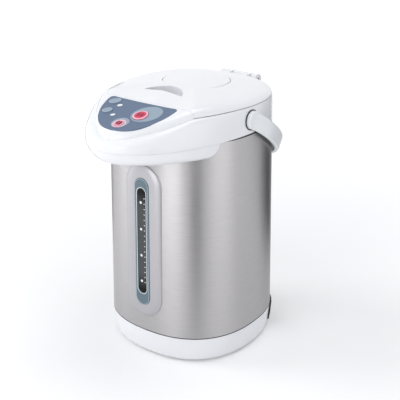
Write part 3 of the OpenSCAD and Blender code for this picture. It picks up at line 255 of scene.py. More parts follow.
def boolean(obj, other, operation="DIFFERENCE"):
    mod = obj.modifiers.new("cut", "BOOLEAN")
    mod.operation, mod.solver, mod.object = operation, "EXACT", other
    bpy.context.view_layer.update()
    made = bpy.data.meshes.new_from_object(
        obj.evaluated_get(bpy.context.evaluated_depsgraph_get()))
    obj.modifiers.clear()
    obj.data = made
    bpy.data.objects.remove(other)
    return obj


def twin(obj, name="twin"):
    copy = bpy.data.objects.new(name, obj.data.copy())
    scene.collection.objects.link(copy)
    return copy


def merged(obj):
    bm = bmesh.new()
    bm.from_mesh(obj.data)
    bmesh.ops.remove_doubles(bm, verts=bm.verts, dist=1e-7)
    bm.to_mesh(obj.data)
    bm.free()
    return obj


def soften(obj, angle=32, weighted=True):
    obj.data.polygons.foreach_set("use_smooth", [True] * len(obj.data.polygons))
    obj.data.set_sharp_from_angle(angle=radians(angle))
    if weighted:
        mod = obj.modifiers.new("weights", "WEIGHTED_NORMAL")
        mod.keep_sharp = True


def show(obj, name, material, body, replaces=(), angle=32, weighted=True):
    obj.name = obj.data.name = name
    obj.data.materials.clear()
    obj.data.materials.append(material)
    soften(obj, angle, weighted)
    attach(obj, body)
    if replaces:
        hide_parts(*replaces)
    return obj


# Levels of several columns, filled in with smooth curves between the rows
def curved(rows, steps):
    out = []
    for i in range(len(rows) - 1):
        p0, p1 = rows[max(0, i - 1)], rows[i]
        p2, p3 = rows[i + 1], rows[min(len(rows) - 1, i + 2)]
        for s in range(steps):
            t = s / steps
            out.append([0.5 * (2 * b + (c - a) * t + (2 * a - 5 * b + 4 * c - d) * t * t
                               + (3 * b - 3 * c + d - a) * t ** 3)
                        for a, b, c, d in zip(p0, p1, p2, p3)])
    return out + [list(rows[-1])]


# Body plan: n and names that end in N are the powers of its rounded outline, and cutters
# reach past the part, to 120 mm or more
pot = {"n": 2.37, "foot": 88.1, "top": 84.2, "skirt": 30.8, "steelHeight": 226,
       "shellTop": 256.8, "seam": 285.0, "crown": 299.6, "sheet": 0.8}


def oval(t, side, front, frontN):
    n, d = (frontN, front) if sin(t) < -1e-9 else (pot["n"], side)
    return side * power(cos(t), 2 / n), d * power(sin(t), 2 / n)


turns = [2 * pi * i / sides for i in range(sides)]


def ring(z, side, front, frontN):
    return [(*oval(t, side, front, frontN), z) for t in turns]


def bodyRing(z, half):
    return ring(z, half, half, pot["n"])


def bodyHalf(z):
    return mix(pot["foot"], pot["top"], (z - pot["skirt"]) / pot["steelHeight"])


# Steel shell with rolled edges, and the foot skirt
shell = {"roll": 0.5, "rollStep": 0.3, "rollLow": 31, "rollHigh": 256, "low": 31.15,
         "high": 256.25, "slotHalf": 16, "slotLow": 59, "slotHigh": 217.2}
levels = [shell["low"] + (shell["high"] - shell["low"]) * i / 12 for i in range(13)]
outer = [bodyRing(levels[0] - shell["rollStep"], bodyHalf(shell["rollLow"]) - shell["roll"])]
outer += [bodyRing(z, bodyHalf(z)) for z in levels]
outer += [bodyRing(levels[-1] + shell["rollStep"], bodyHalf(shell["rollHigh"]) - shell["roll"])]
inner = [bodyRing(z, bodyHalf(z) - pot["sheet"]) for z in (levels[-1], levels[0])]
steel = skin("outerShell", outer + inner, closed=True)
boolean(steel, block(-shell["slotHalf"], -150, shell["slotLow"], shell["slotHalf"], 0,
                     shell["slotHigh"]))
show(steel, "outerShell", mats["brushed_steel"], "pot", ["outer_shell"])

inletBay = {"half": 16.3, "y": 67.8, "low": 5.2, "high": 27.8}
# Rows: height, inset from the foot's widest line
skirtRows = [[1.2, 6.6], [2.1, 4.9], [4.0, 3.5], [8.0, 2.3], [16.0, 1.1], [30.1, 0.05]]
skirtRings = [bodyRing(z, pot["foot"] - d) for z, d in curved(skirtRows, 5)]
skirtRings += [bodyRing(30.5, pot["foot"] - 0.12), bodyRing(30.8, pot["foot"] - 0.45)]
skirtRings += [bodyRing(z, pot["foot"] - d) for z, d in (
    (30.8, 1.1), (35.8, 1.3), (35.8, 3.7), (18.8, 4.7), (7.2, 6.6), (7.2, 11.6), (5.2, 11.6),
    (5.2, 8.6), (1.2, 8.6))]
skirt = skin("baseSkirt", skirtRings, closed=True)
boolean(skirt, block(-inletBay["half"], inletBay["y"], inletBay["low"], inletBay["half"], 120,
                     inletBay["high"]))
show(skirt, "baseSkirt", mats["white_plastic"], "pot", ["base_skirt"])
print("stage: shell and skirt")

# Head: one outer form, shared by the housing, the tray and the lid
head = {"half": 84.4, "rimHalf": 83.4, "reach": 144.5, "rimFront": 136.5, "rimN": 1.64,
        "beltN": 1.95, "facetY": -78, "facetRise": 7, "slope": 0.3, "crownY": 10,
        "apron": 240.0, "belt": 262.0, "edge": 6, "edgeMore": 4, "edgeFrom": -20,
        "edgeSpan": 60, "shoulderIn": 0.1, "rimWall": 1.6, "edgePower": 16, "noseEdge": 6,
        "domePower": 1.3, "noseDome": 1.05, "hollowLow": 249.8, "hollowN": 1.94}
# Rows: height above the apron, inset at the side, inset at the front, power
apronRows = [[0, 4.4, 17.5, 1.7], [1, 2.4, 12.5, 1.72], [4, 0.8, 6.5, 1.78],
             [9.5, 0.2, 2, 1.86], [16.2, 0, 0, 1.94], [22, 0.1, 0, 1.95]]
trayRows = [[2.2, 4, 12.2, 1.74], [5, 2.9, 8.1, 1.8], [9.5, 2.4, 4.4, 1.86],
            [24, 2.2, 2.4, 1.94]]
# Where the crown's rings lie, from its rim in to its middle
shares = [0.9995, 0.998, 0.995, 0.99, 0.98, 0.965, 0.945, 0.92, 0.89, 0.85, 0.8, 0.74, 0.67,
          0.59, 0.5, 0.4, 0.3, 0.2, 0.1, 0.02]


def facetZ(y):
    return pot["seam"] + head["facetRise"] + head["slope"] * (y - head["facetY"])


def rimZ(y):
    return min(pot["seam"], facetZ(y) - head["facetRise"])


def levelRing(row):
    return ring(head["apron"] + row[0], head["half"] - max(0, row[1]),
                head["reach"] - max(0, row[2]), row[3])


def rimPoint(t, wall):
    return oval(t, head["rimHalf"] - wall, head["rimFront"] - head["rimWall"] * wall, head["rimN"])


def shoulderRing(f, wall):
    out = []
    for t in turns:
        wx, wy = oval(t, head["half"] - head["shoulderIn"] - wall, head["reach"] - wall,
                      head["beltN"])
        rx, ry = rimPoint(t, wall)
        g, h = 1 - cos(pi / 2 * f), sin(pi / 2 * f)
        out.append((mix(wx, rx, g), mix(wy, ry, g),
                    mix(head["belt"], rimZ(ry) - wall / 2, h)))
    return out


def crownRing(share, wall):
    out = []
    noseZ = rimZ(-head["rimFront"])
    for t in turns:
        rx, ry = rimPoint(t, wall)
        z0 = rimZ(ry)
        nose = (pot["seam"] - z0) / (pot["seam"] - noseZ)
        forward = min(1, max(0, (head["edgeFrom"] - ry) / head["edgeSpan"]))
        edge = head["edge"] + head["edgeMore"] * forward
        edgePower = head["edgePower"] + head["noseEdge"] * nose
        domePower = head["domePower"] + head["noseDome"] * nose
        z = (z0 + edge * sqrt(1 - share ** edgePower)
             + (pot["crown"] - z0 - edge) * (1 - share ** domePower))
        out.append((rx * share, head["crownY"] + (ry - head["crownY"]) * share, z - wall))
    return out


facetTilt = round(degrees(atan(head["slope"])), 4)
facet = place(0, head["facetY"], pot["seam"] + head["facetRise"]) @ turn("X", facetTilt)
headOuter = skin("head", [levelRing(r) for r in curved(apronRows, 6)]
                 + [shoulderRing(0.1 * i, 0) for i in range(1, 11)]
                 + [crownRing(s, 0) for s in shares])
boolean(headOuter, block(-200, -200, 0, 200, 300, 120, facet))


def headInner(wall, facetWall):
    half, reach = head["half"] - wall, head["reach"] - wall
    made = skin("inner", [ring(head["hollowLow"], half, reach, head["hollowN"]),
                          ring(head["belt"], head["half"] - head["shoulderIn"] - wall, reach,
                               head["beltN"])]
                + [shoulderRing(f, wall) for f in (0.2, 0.4, 0.6, 0.8, 1)]
                + [crownRing(s, wall) for s in shares[3:]])
    return boolean(made, block(-200, -200, -facetWall, 200, 300, 120, facet))


# Places on the facet: x, y, then a radius or two half axes, and a pad's turn in degrees
keys = {"dispense": (13.005, -23.97, 8.2), "unlock": (1.02, -43.503, 4.8)}
ovals = {"reboil": (-32.47, -9.486, 6.806, 4.592), "timer": (-28.475, -27.03, 5.576, 4.182)}
lenses = {"rear": (-22.015, -14.484, 3, 1.9), "front": (-17, -31.977, 2.7, 1.8)}
pads = {"dispense": (17.6, -19.6, 16.6, 14.0, 36), "unlock": (0.9, -41.6, 9.6, 8.8, 30)}
keyTurn = 32
panel = {"half": 44.0, "length": 55, "n": 1.95, "back": -1, "thick": 1.6, "corner": 4.0,
         "bulge": 0.9, "keyGap": 0.3, "lensGap": 0.05}


def panelOutline(grow=0.0):
    half, length, corner = panel["half"] + grow, panel["length"] + grow, panel["corner"]
    front = []
    for i in range(121):
        t = pi + pi * i / 120
        depth = length * abs(sin(t)) ** (2 / panel["n"])
        cut = corner - sqrt(corner ** 2 - max(0, corner - depth) ** 2)
        x = power(cos(t), 2 / panel["n"])
        front.append((half * x - (cut if x > 0 else -cut), panel["back"] + grow * 0.5 - depth))
    flat = half - corner
    back = [(flat * f, panel["back"] + grow * 0.5 - panel["bulge"] * (1 - f * f))
            for f in [1 - i / 10 for i in range(1, 20)]]
    return front + back


def ellipse(a, b, count=48):
    return [(a * cos(2 * pi * j / count), b * sin(2 * pi * j / count)) for j in range(count)]


def atKey(x, y):
    return facet @ place(x, y, 0) @ turn("Z", keyTurn)


def keyCutters(grow):
    out = [disc(x, y, r + grow, -20, 20, facet) for x, y, r in keys.values()]
    out += [prism("cut", ellipse(a + grow, b + grow), -20, 20, atKey(x, y))
            for x, y, a, b in ovals.values()]
    return out


def lensCutters(grow):
    return [prism("cut", ellipse(a + grow, b + grow), -20, 20, atKey(x, y))
            for x, y, a, b in lenses.values()]


# Where the handle turns, in the housing's sides
pivot = {"y": -8, "z": 271, "pocketX": 83.2, "pocketR": 10.4, "boreR": 6.8, "boreDeep": 6}


def atPivot(side, x):
    return place(side * x, pivot["y"], pivot["z"]) @ turn("Y", 90 * side)


# Upper housing
upper = {"wall": 2.6, "facetWall": 3.6, "frontCut": -77.3, "seamGap": 0.15, "hollowCut": -79.9,
         "hollowTop": 282.6, "lipLow": 251.8, "lipHigh": 257.4, "neckY": 7, "neckR": 68.7,
         "panelGap": 0.12, "keyGap": 0.6, "lensGap": 0.3,
         "hingePad": (-26, 81.9, 261.8, 26, 84.7, 282),
         "latchWell": (-10, -74.2, 277, 10, -63.7, 293)}
housing = twin(headOuter, "upperHousing")
boolean(housing, block(-200, -200, 100, 200, 200, pot["shellTop"]))
boolean(housing, block(-200, upper["frontCut"], pot["seam"] - upper["seamGap"], 200, 300, 400))
hollow = headInner(upper["wall"], upper["facetWall"])
lowHollow = twin(hollow)
boolean(lowHollow, block(-200, upper["hollowCut"], upper["hollowTop"], 200, 300, 400))
bpy.data.objects.remove(hollow)
boolean(housing, lowHollow)
lipRings = [bodyRing(z, pot["top"] - d) for z, d in (
    (upper["lipLow"], 1.3), (upper["lipHigh"], 1.1), (upper["lipHigh"], 3.7),
    (upper["lipLow"], 3.7))]
lip = skin("lip", lipRings, closed=True)
boolean(housing, lip, "UNION")
boolean(housing, block(*upper["hingePad"]), "UNION")
boolean(housing, disc(0, upper["neckY"], upper["neckR"], 275, 300, count=160))
boolean(housing, prism("cut", panelOutline(upper["panelGap"]), -panel["thick"], 20, facet))
boolean(housing, join(keyCutters(upper["keyGap"]) + lensCutters(upper["lensGap"])))
boreR, pocketR, boreDeep = pivot["boreR"], pivot["pocketR"], pivot["boreDeep"]
pocketProfile = [(0.01, -boreDeep), (boreR, -boreDeep), (boreR, 0), (pocketR, 0),
                 (pocketR, 40), (0.01, 40)]
boolean(housing, join([revolve("pocket", pocketProfile, 72, atPivot(side, pivot["pocketX"]))
                       for side in (-1, 1)]))
boolean(housing, block(*upper["latchWell"]))
show(housing, "upperHousing", mats["white_plastic"], "pot",
     ["upper_housing"], angle=38)

# Tray under the beak
apron = {"low": 235, "top": 256.62, "innerTop": 262, "turnY": -72, "turnZ": 256.8, "turnR": 17,
         "rearY": -55, "wall": 2.2, "bodyGap": 0.3, "nozzleY": -112, "nozzleR": 7.3}
tray = twin(headOuter, "spoutTray")


# Side profile of the tray, its lower rear corner rounded
def apronCut(name, inset, top):
    r = apron["turnR"] - inset
    pts = [(-300, apron["low"]), (apron["turnY"], apron["low"])]
    for i in range(14):
        a = -pi / 2 * (1 - i / 14)
        pts.append((apron["turnY"] + r * cos(a), apron["turnZ"] + r * sin(a)))
    pts += [(apron["rearY"] - inset, top), (-300, top)]
    return prism(name, pts, -200, 200, Matrix(((0, 0, 1, 0), (1, 0, 0, 0), (0, 1, 0, 0),
                                               (0, 0, 0, 1))))


boolean(tray, apronCut("apron", 0, apron["top"]), "INTERSECT")
trayInner = skin("trayInner", [levelRing(r) for r in curved(trayRows, 4)])
boolean(trayInner, apronCut("apronInner", apron["wall"], apron["innerTop"]), "INTERSECT")
boolean(tray, trayInner)
boolean(tray, skin("clear", [bodyRing(z, bodyHalf(z) + apron["bodyGap"]) for z in (200, 258)]))
boolean(tray, disc(0, apron["nozzleY"], apron["nozzleR"], 230, 250))
show(tray, "spoutTray", mats["white_plastic"], "pot", ["spout_cover"],
     angle=38)
print("stage: housing and tray")

# Lid
lid = {"front": -77, "low": 285.45, "wall": 2.4, "plateY": 9, "hole": 37.4, "recessR": 26,
       "recessY": -57.5, "cutR": 157, "cutY": -205, "rimIn": 37, "rimOut": 39.8,
       "rimLow": 293.3, "wellWall": 1.2, "wellFront": 0.4, "wellLow": 287.2, "top": 302,
       "armIn": 7.9, "armOut": 17, "armY": 69.7}


# The finger recess: the circle's part behind the wide front arc
def crescent(r, cutR):
    angles = [2 * pi * (j + 0.37) / 400 for j in range(400)]
    circle = [(r * cos(a), lid["recessY"] + r * sin(a)) for a in angles]
    keep = [p for p in circle if sqrt(p[0] ** 2 + (p[1] - lid["cutY"]) ** 2) > cutR and p[1] > -70]
    keep.sort(key=lambda p: p[0])
    tip = keep[-1][0]
    arc = [(x, lid["cutY"] + sqrt(cutR ** 2 - x * x))
           for x in [tip - 2 * tip * i / 30 for i in range(1, 30)]]
    return keep + arc


# The head's form moved down, so that ribs end inside the lid's wall
def lowered(depth):
    form = twin(headOuter)
    form.data.transform(place(0, 0, -depth))
    return form


cover = twin(headOuter, "lidShell")
boolean(cover, block(-200, lid["front"] - 200, 200, 200, lid["front"], 400))
boolean(cover, block(-200, -200, 200, 200, 200, lid["low"]))
lidHollow = headInner(lid["wall"], lid["wall"])
boolean(lidHollow, block(-200, -300, 200, 200, lid["front"] + lid["wall"], 400))
boolean(cover, lidHollow)
rimProfile = [(lid["rimIn"], lid["rimLow"]), (lid["rimOut"], lid["rimLow"]),
              (lid["rimOut"], lid["top"]), (lid["rimIn"], lid["top"])]
rim = revolve("rim", rimProfile, 128, place(0, lid["plateY"], 0))
boolean(rim, lowered(0.5), "INTERSECT")
boolean(cover, rim, "UNION")
well = prism("well", crescent(lid["recessR"] + lid["wellWall"], lid["cutR"] + lid["wellFront"]),
             lid["wellLow"], lid["top"])
boolean(well, lowered(0.6), "INTERSECT")
boolean(cover, well, "UNION")
boolean(cover, disc(0, lid["plateY"], lid["hole"], 250, 330, count=160))
boolean(cover, prism("recess", crescent(lid["recessR"], lid["cutR"]), 280, 330))
boolean(cover, join([block(x, lid["armY"], 280, x + lid["armOut"] - lid["armIn"], 130, 290)
                     for x in (-lid["armOut"], lid["armIn"])]))
show(cover, "lidShell", mats["white_plastic"], "lid", ["lid_shell"], angle=38)
bpy.data.objects.remove(headOuter)

# Round press plate: domed top with a rolled edge
plate = {"r": 36.8, "top": 299.2, "dome": 2.0}
domeR = (plate["r"] ** 2 + plate["dome"] ** 2) / (2 * plate["dome"])
profile = [(0.01, plate["top"])]
for i in range(1, 25):
    r = (plate["r"] - 0.8) * i / 24
    profile.append((r, plate["top"] - domeR + sqrt(domeR ** 2 - r * r)))
edgeZ = profile[-1][1]
profile += [(36.35, edgeZ - 0.18), (36.7, edgeZ - 0.5), (36.8, edgeZ - 0.9), (36.8, 293.0),
            (38.2, 293.0), (38.2, 291.5), (34.8, 291.5), (34.8, 295.0), (0.01, 295.0)]
show(revolve("plate", profile, 160, place(0, lid["plateY"], 0)), "pressPlate",
     mats["white_plastic"], "press_plate", ["press_plate"], angle=40)
print("stage: lid and plate")

# Bail handle
bail = {"half": 92.5, "reach": 121.9, "slope": -33.2, "w": 18, "t": 5.5, "n": 2.4,
        "hubX": 86.25, "hubIn": 83.5, "boreR": 5.3, "boreDeep": 3.6, "inside": -0.6,
        "around": 28}
onBail = place(0, pivot["y"], pivot["z"]) @ turn("X", bail["slope"])


def bailPoint(a):
    c, s = cos(radians(a)), abs(sin(radians(a)))
    v = bail["reach"] * s ** (2 / bail["n"])
    tuck = (bail["half"] - bail["hubX"]) * max(0, 1 - v / 30) ** 2
    return power(c, 2 / bail["n"]) * bail["half"] - (1 if c > 0 else -1) * tuck, v


def bailRing(a):
    (x0, y0), (x1, y1) = bailPoint(max(0, a - 0.5)), bailPoint(min(180, a + 0.5))
    d = Vector((x1 - x0, y1 - y0)).normalized()
    x, y = bailPoint(a)
    out = []
    for j in range(bail["around"]):
        u = -2 * pi * j / bail["around"]
        # flat inside, rounded outside
        e = 2 / 5.5 if cos(u) < 0 else 2 / 3.2
        s = power(cos(u), e) * 0.5
        w = power(sin(u), 2 / 4.5) * 0.5
        out.append((x + d.y * s * bail["t"], y - d.x * s * bail["t"], w * bail["w"]))
    return out


stations = [0, 1, 2, 3.5, 5, 7, 9, 11, 14] + [17 + 3 * i for i in range(49)]
stations += [180 - a for a in (14, 11, 9, 7, 5, 3.5, 2, 1, 0)]
band = skin("bail", [bailRing(a) for a in stations], matrix=onBail)
hubProfile = [(0.01, 0), (9.4, 0), (9.8, 0.4), (9.8, 4.3), (9.5, 4.95), (8.9, 5.35), (8.1, 5.5),
              (0.01, 5.5)]
for side in (-1, 1):
    boolean(band, revolve("hub", hubProfile, 96, atPivot(side, bail["hubIn"])), "UNION")
for side in (-1, 1):
    boolean(band, disc(0, 0, bail["boreR"], -1, bail["boreDeep"], atPivot(side, bail["hubIn"])))
show(band, "bailHandle", handleWhite, "handle", ["handle_bail"], angle=50)
# The strap's inward faces take a darker copy of the handle's white: painted shade
band.data.materials.append(handleShade)
for polygon in band.data.polygons:
    outward = (polygon.center - onBail.translation).normalized()
    if polygon.normal.dot(outward) < bail["inside"]:
        polygon.material_index = 1
print("stage: handle")

# Gauge panel: a capsule on the curved front, with a pocket for the bezel
gauge = {"low": 49.6, "w": 47.4, "h": 177, "bezelLow": 63.4, "bezelW": 19.4, "bezelH": 148.6,
         "windowLow": 78.0, "windowW": 11.4, "windowH": 122.6, "floor": -0.6,
         "bezelFace": -3.0, "lipLow": 75.7, "lipW": 16, "lipH": 127.2, "proud": 2.6,
         "pocketEdge": 2.35, "offSteel": 0.06}
lean = round(degrees(atan((pot["foot"] - pot["top"]) / pot["steelHeight"])), 3)


def capsule(low, width, height, inset=0.0):
    r = width / 2 - inset
    z0, z1 = low + width / 2, low + height - width / 2
    pts = [(r * cos(a), z1 + r * sin(a)) for a in [pi * i / 30 for i in range(31)]]
    pts += [(-r, mix(z1, z0, i / 16)) for i in range(1, 16)]
    pts += [(r * cos(a), z0 + r * sin(a))
            for a in [pi + pi * i / 30 for i in range(31)]]
    pts += [(r, mix(z0, z1, i / 16)) for i in range(1, 16)]
    return pts


def onSteel(pts, height):
    out = []
    for x, z in pts:
        half = bodyHalf(z) + height
        out.append((x, -half * (1 - (abs(x) / half) ** pot["n"]) ** (1 / pot["n"]), z))
    return out


onFront = place(0, -pot["foot"], pot["skirt"]) @ turn("X", -lean)


def upright(pts, depth):
    return [(x, depth, z - pot["skirt"]) for x, z in pts]


def inFront(rings):
    return [[tuple(onFront @ (Vector(p) * mm) / mm) for p in r] for r in rings]


# Pairs: inset from the panel's edge, height over the steel
flank = [(0, gauge["offSteel"]), (0, 0.55), (0.25, 0.85), (0.8, 1.2), (1.8, 1.62), (3.0, 2.02),
         (4.2, 2.32), (5.6, 2.52), (7.2, gauge["proud"]), (10.5, gauge["proud"])]
pocket = capsule(gauge["bezelLow"], gauge["bezelW"] + 0.1, gauge["bezelH"] + 0.1)
pocketEdge = capsule(gauge["bezelLow"], gauge["bezelW"] + 0.9, gauge["bezelH"] + 0.9)
lipRing = capsule(gauge["lipLow"], gauge["lipW"], gauge["lipH"])
gaugeRings = [onSteel(capsule(gauge["low"], gauge["w"], gauge["h"], inset), height)
              for inset, height in flank]
gaugeRings += [onSteel(pocketEdge, gauge["proud"]), onSteel(pocket, gauge["pocketEdge"])]
gaugeRings += inFront([upright(pocket, gauge["floor"]), upright(lipRing, gauge["floor"])])
gaugeRings += [onSteel(lipRing, gauge["offSteel"])]
show(skin("gauge", gaugeRings, closed=True), "gaugePanel", mats["silver_plastic"], "pot",
     ["gauge_panel"], angle=40)


# Capsules of the bezel's and the window's form, grown or inset
def bezelCapsule(inset=0.0):
    return capsule(gauge["bezelLow"], gauge["bezelW"], gauge["bezelH"], inset)


def windowCapsule(grow=0.0):
    return capsule(gauge["windowLow"] - grow, gauge["windowW"] + 2 * grow,
                   gauge["windowH"] + 2 * grow)


# A thin printed line between two edges, on the bezel's face
def faceLine(name, edge, otherEdge, material):
    back, front = gauge["bezelFace"] + 0.01, gauge["bezelFace"] - 0.03
    rings = inFront([upright(edge, back), upright(edge, front), upright(otherEdge, front),
                     upright(otherEdge, back)])
    show(skin("line", rings, closed=True), name, material, "pot", angle=40,
         weighted=False)


# Bezel with a soft edge, and a pale line round the window
bezelRings = inFront(
    [upright(bezelCapsule(inset), depth)
     for inset, depth in ((0, gauge["floor"]), (0, -2.55), (0.25, -2.88), (0.7, gauge["bezelFace"]))]
    + [upright(windowCapsule(0.7), gauge["bezelFace"]), upright(windowCapsule(), -2.6),
       upright(windowCapsule(), gauge["floor"])])
show(skin("bezel", bezelRings, closed=True), "gaugeBezel", bezelBlue, "pot",
     ["gauge_bezel"], angle=40)
faceLine("gaugeLine", windowCapsule(1.1), windowCapsule(0.5), mats["white_print"])
faceLine("gaugeRimLine", bezelCapsule(0.75), bezelCapsule(1.15), paleLine)

# Pairs: inset from the window's edge, depth
paneRows = [(-2, 0.55), (-2, -0.55), (0.06, -0.6), (0.06, -2.2), (0.4, -2.5), (1.2, -2.6)]
pane = inFront([upright(capsule(gauge["windowLow"], gauge["windowW"], gauge["windowH"], inset),
                        depth) for inset, depth in paneRows])
show(skin("pane", pane), "gaugeWindow", windowSmokeAndEndShade, "pot",
     ["gauge_window"], angle=40)
print("stage: gauge")


# Repeats come from one node group: copies of a bar or a ball along a line
def repeater():
    group = bpy.data.node_groups.new("repeatAlong", "GeometryNodeTree")
    sockets = group.interface
    for label, kind, default in (("Count", "NodeSocketInt", 4),
                                 ("Start", "NodeSocketVector", (0, 0, 0)),
                                 ("Step", "NodeSocketVector", (0, 0, 0.01)),
                                 ("Size", "NodeSocketVector", (0.001, 0.001, 0.001)),
                                 ("Round", "NodeSocketBool", False),
                                 ("Material", "NodeSocketMaterial", None)):
        socket = sockets.new_socket(name=label, in_out="INPUT", socket_type=kind)
        if default is not None:
            socket.default_value = default
    sockets.new_socket(name="Geometry", in_out="OUTPUT", socket_type="NodeSocketGeometry")
    add, link = group.nodes.new, group.links.new
    given, out = add("NodeGroupInput"), add("NodeGroupOutput")
    line = add("GeometryNodeMeshLine")
    link(given.outputs["Count"], line.inputs["Count"])
    link(given.outputs["Start"], line.inputs["Start Location"])
    link(given.outputs["Step"], line.inputs["Offset"])
    bar = add("GeometryNodeMeshCube")
    dot = add("GeometryNodeMeshUVSphere")
    dot.inputs["Segments"].default_value = 28
    dot.inputs["Rings"].default_value = 14
    dot.inputs["Radius"].default_value = 0.5
    pick = add("GeometryNodeSwitch")
    pick.input_type = "GEOMETRY"
    link(given.outputs["Round"], pick.inputs["Switch"])
    link(bar.outputs["Mesh"], pick.inputs["False"])
    link(dot.outputs["Mesh"], pick.inputs["True"])
    copies = add("GeometryNodeInstanceOnPoints")
    link(line.outputs["Mesh"], copies.inputs["Points"])
    link(pick.outputs["Output"], copies.inputs["Instance"])
    link(given.outputs["Size"], copies.inputs["Scale"])
    real, paint = add("GeometryNodeRealizeInstances"), add("GeometryNodeSetMaterial")
    link(copies.outputs["Instances"], real.inputs["Geometry"])
    link(real.outputs["Geometry"], paint.inputs["Geometry"])
    link(given.outputs["Material"], paint.inputs["Material"])
    link(paint.outputs["Geometry"], out.inputs["Geometry"])
    return group


repeatGroup = repeater()
inputNames = {s.name: s.identifier for s in repeatGroup.interface.items_tree
              if s.item_type == "SOCKET" and s.in_out == "INPUT"}


def repeat(name, count, start, step, size, material, rounded=False, matrix=None):
    obj = bpy.data.objects.new(name, bpy.data.meshes.new(name))
    scene.collection.objects.link(obj)
    mod = obj.modifiers.new("repeat", "NODES")
    mod.node_group = repeatGroup
    values = {"Count": count, "Start": [c * mm for c in start], "Step": [c * mm for c in step],
              "Size": [c * mm for c in size], "Round": rounded, "Material": material}
    for label, value in values.items():
        mod[inputNames[label]] = value
    obj.update_tag()
    bpy.context.view_layer.update()
    made = bpy.data.meshes.new_from_object(
        obj.evaluated_get(bpy.context.evaluated_depsgraph_get()))
    obj.modifiers.clear()
    obj.data = made
    if matrix is not None:
        made.transform(matrix)
    return obj


# Level marks on the glass: dots for the half litres, ticks at the right edge
marks = {"depth": -2.62, "dotX": -1, "dotLow": 61.6, "dotStep": 30.65, "dotSize": (3.0, 0.4, 3.0),
         "tickX": 3.7, "tickLow": 60.7, "tickStep": 6.13, "tickSize": (1.4, 0.12, 0.8)}
dots = repeat("dots", 4, (marks["dotX"], marks["depth"], marks["dotLow"]),
              (0, 0, marks["dotStep"]), marks["dotSize"], mats["white_print"], True, onFront)
ticks = repeat("ticks", 17, (marks["tickX"], marks["depth"], marks["tickLow"]),
               (0, 0, marks["tickStep"]), marks["tickSize"], markGrey, False, onFront)
show(join([dots, ticks]), "levelMarks", mats["white_print"], "pot",
     ["level_marks"], weighted=False)

# Control panel with a soft edge and holes for its keys
def panelRing(grow, z):
    return [(x, y, z) for x, y in panelOutline(grow)]


slab = skin("panel", [panelRing(0, -panel["thick"]), panelRing(0, -0.3), panelRing(-0.1, -0.08),
                      panelRing(-0.35, 0)], matrix=facet)
boolean(slab, join(keyCutters(panel["keyGap"]) + lensCutters(panel["lensGap"])))
show(slab, "controlPanel", mats["slate_plastic"], "pot", ["control_panel"],
     angle=30)

padParts = []
for x, y, a, b, angle in pads.values():
    at = facet @ place(x, y, 0) @ turn("Z", angle)
    padParts.append(skin("pad", [[(px, py, z) for px, py in ellipse(a - i, b - i, 72)]
                                 for i, z in ((0, 0), (0, 0.18), (0.15, 0.3))], matrix=at))
padSkin = join(padParts)
boolean(padSkin, join([disc(x, y, r + panel["keyGap"], -3, 3, facet)
                       for x, y, r in keys.values()]))
show(padSkin, "buttonPads", mats["slate_pale"], "pot", ["button_surrounds"])


# Keys: a domed cap with a rolled edge, a flange and a stem
key = {"flange": 1.2, "flangeTop": -3.9, "flangeLow": -4.9, "stemR": 2, "stemEnd": -6.2,
       "dome": 0.35, "barSpread": 1.9, "barHalfW": 1.15, "barHalfH": 3.3, "haloR": 7.3}


def keyProfile(r, rise, dome):
    cap = [(0.01, rise)]
    for i in range(1, 11):
        f = i / 10 * 0.9
        cap.append((r * f, rise - dome * f * f))
    cap += [(r * 0.96, rise - dome - 0.12), (r, rise - dome - 0.5), (r, key["flangeTop"]),
            (r + key["flange"], key["flangeTop"]), (r + key["flange"], key["flangeLow"]),
            (key["stemR"], key["flangeLow"]), (key["stemR"], key["stemEnd"]),
            (0.01, key["stemEnd"])]
    return cap


red = {"dispense": ("dispense_button", 1.4, "dispense"), "unlock": ("unlock_button", 1.2, "unlock")}
for name, (node, rise, body) in red.items():
    x, y, r = keys[name]
    at = facet @ place(x, y, 0)
    show(revolve(node, keyProfile(r, rise, key["dome"]), 96, at), name + "Button",
         mats["red_plastic"], body, [node], angle=40)
    # pale ring round the cap and a pair of raised bars on it
    band = [(r * 0.76, rise - 0.4), (r * 0.76, rise - 0.14), (r * 0.86, rise - 0.19),
            (r * 0.985, rise - 0.44), (r * 0.985, rise - 0.6)]
    show(revolve("ring", band, 96, at), name + "Ring", pinkRing, body,
         angle=60)
    bar = ellipse(key["barHalfW"], key["barHalfH"], 24)
    bars = [prism("bar", [(px + side * key["barSpread"], py) for px, py in bar],
                  rise - 0.4, rise + 0.06, at) for side in (-1, 1)]
    show(join(bars), name + "Bars", darkRed, body)

# Pale ring printed on the pad round the small button
x, y, r = keys["unlock"]
halo = [(r + 0.35, 0.28), (r + 0.35, 0.34), (key["haloR"], 0.34), (key["haloR"], 0.28)]
show(revolve("ring", halo, 96, facet @ place(x, y, 0)), "unlockHalo", pinkRing, "pot",
     weighted=False)

for name, (x, y, a, b) in ovals.items():
    at = atKey(x, y)
    flange = ellipse(a + key["flange"], b + key["flange"], 72)
    rings = [[(px, py, z) for px, py in flange] for z in (key["flangeLow"], key["flangeTop"])]
    rings += [[(px * s, py * s, z) for px, py in ellipse(a, b, 72)]
              for z, s in ((key["flangeTop"], 1.0), (0.6, 1.0), (0.82, 0.97), (0.9, 0.9))]
    node = name + "_key"
    cap = skin(node, rings, matrix=at)
    boolean(cap, disc(0, 0, key["stemR"], key["stemEnd"], -4.8, at), "UNION")
    show(cap, name + "Key", mats["slate_pale"], name, [node], angle=35)
    edge = [[(px * s, py * s, z) for px, py in ellipse(a, b, 72)]
            for z, s in ((0.86, 0.945), (0.93, 0.94), (0.93, 0.885), (0.88, 0.88))]
    show(skin("edge", edge, closed=True, matrix=at), name + "Edge", paleLine, name,
         weighted=False)

